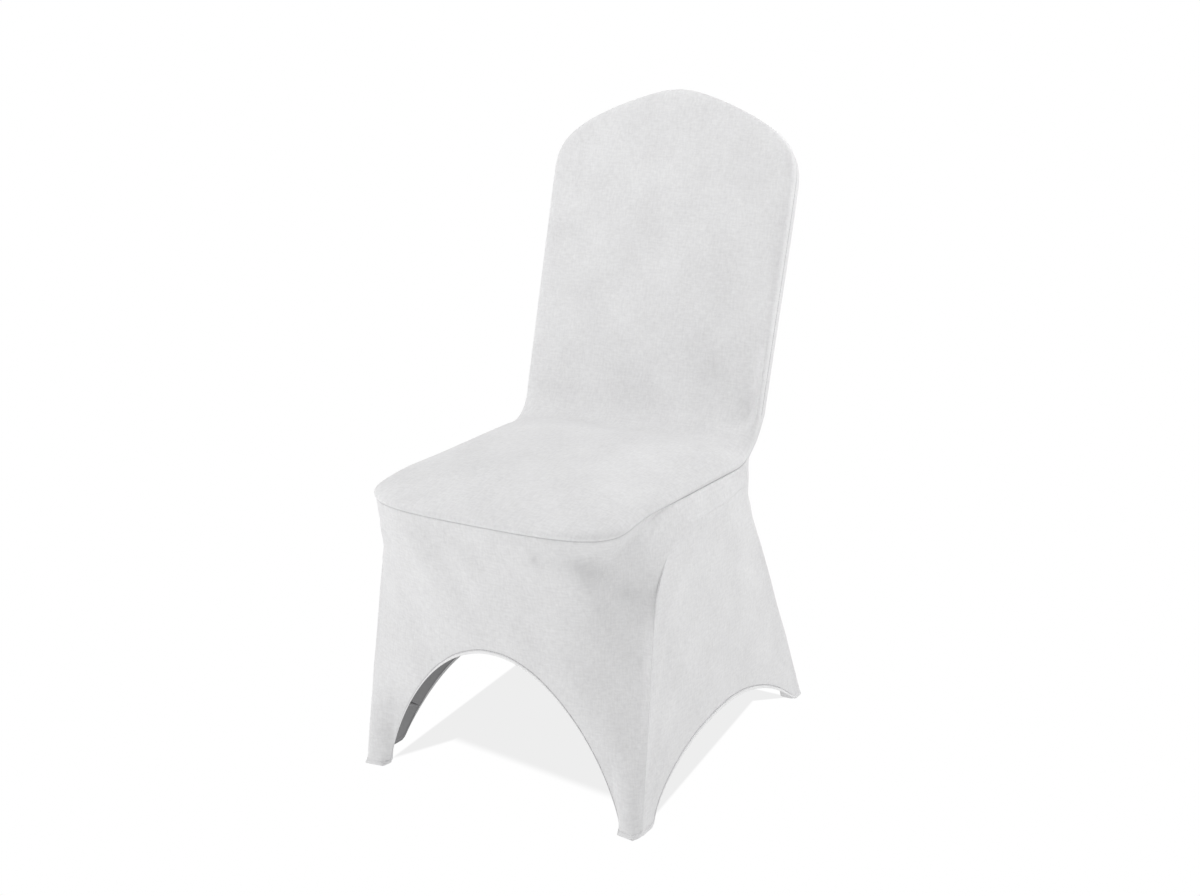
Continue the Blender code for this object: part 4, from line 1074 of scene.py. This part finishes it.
def floor_group():
    """Brightness of the ground: 1, and darker inside the shadow under the cover."""
    group, out = new_group("floor_shadow", ("Light",))
    _, place = coordinates(group, "Object")
    x, y = place["X"], place["Y"]
    left = line_of(group, y, *SHADOW_LEFT)
    right, front = (
        math_node(group, pick, line_of(group, along_axis, *one), line_of(group, along_axis, *two))
        for pick, along_axis, one, two in (("MAXIMUM", y, SHADOW_RIGHT, SHADOW_RIGHT_FRONT),
                                           ("MINIMUM", x, SHADOW_FRONT, SHADOW_FRONT_LEFT)))
    inside = 1.0
    for high, low, edge in ((x, left, SHADOW_EDGE), (right, x, SHADOW_EDGE),
                            (y, front, SHADOW_FRONT_EDGE), (SHADOW_REAR, y, SHADOW_EDGE)):
        within = step(group, math_node(group, "SUBTRACT", high, low), edge)
        inside = times(group, inside, within)
    light = plus(group, times(group, inside, SHADOW_LEVEL - 1.0), 1.0)
    group.links.new(light, out.inputs["Light"])
    return group


def room_group():
    """Brightness of the room: white behind the ground, dimmer higher up."""
    group, out = new_group("room_light", ("Light",))
    _, place = coordinates(group, "Generated")
    high = step(group, plus(group, place["Z"], -ROOM_HORIZON), 0.03)
    light = plus(group, times(group, high, ROOM_ABOVE - 1.0), 1.0)
    group.links.new(light, out.inputs["Light"])
    return group


floor_white = bpy.data.materials.new("white_ground")
floor_white.use_nodes = True
shader = floor_white.node_tree.nodes["Principled BSDF"]
shader.inputs["Base Color"].default_value = (0.0, 0.0, 0.0, 1.0)
shader.inputs["Specular IOR Level"].default_value = 0.0
shader.inputs["Emission Strength"].default_value = 1.0
ground = floor_white.node_tree.nodes.new("ShaderNodeGroup")
ground.node_tree = floor_group()
floor_white.node_tree.links.new(ground.outputs["Light"], shader.inputs["Emission Color"])
floor_mesh = bpy.data.meshes.new("floor")
floor_mesh.from_pydata([(-3, -3, 0), (3, -3, 0), (3, 3, 0), (-3, 3, 0)], [], [(0, 1, 2, 3)])
floor_mesh.materials.append(floor_white)
floor = bpy.data.objects.new("floor", floor_mesh)
scene.collection.objects.link(floor)

ROOM_HORIZON, ROOM_ABOVE = 0.259, 0.4177
world = bpy.data.worlds.new("white_room")
scene.world = world
world.use_nodes = True
background = world.node_tree.nodes["Background"]
background.inputs["Strength"].default_value = 1.0
room = world.node_tree.nodes.new("ShaderNodeGroup")
room.node_tree = room_group()
world.node_tree.links.new(room.outputs["Light"], background.inputs["Color"])

# Broad lamps round the cover: direction and height in degrees, and power in watts
LAMP_WIDTH, LAMP_AWAY, LAMP_AIM = 1.2, 2.6, 0.45
LAMPS = (
    # direction, height, watts
    (-40.0, 25.0, 17.23),
    (-75.0, 25.0, 5.51),
    (60.0, 60.0, 6.62),
    (120.0, 60.0, 16.92),
    (150.0, 25.0, 11.40),
    (-120.0, 60.0, 6.47),
)
for index, (direction, height, watts) in enumerate(LAMPS):
    turn, rise = math.radians(direction), math.radians(height)
    lamp = bpy.data.lights.new("lamp_%d" % (index + 1), "AREA")
    lamp.shape = "DISK"
    lamp.size = LAMP_WIDTH
    lamp.energy = watts
    reach, high = LAMP_AWAY * math.cos(rise), LAMP_AIM + LAMP_AWAY * math.sin(rise)
    lamp_place = bpy.data.objects.new(lamp.name, lamp)
    lamp_place.location = (reach * math.sin(turn), -reach * math.cos(turn), high)
    lamp_place.rotation_euler = (math.pi / 2 - rise, 0.0, turn)
    scene.collection.objects.link(lamp_place)
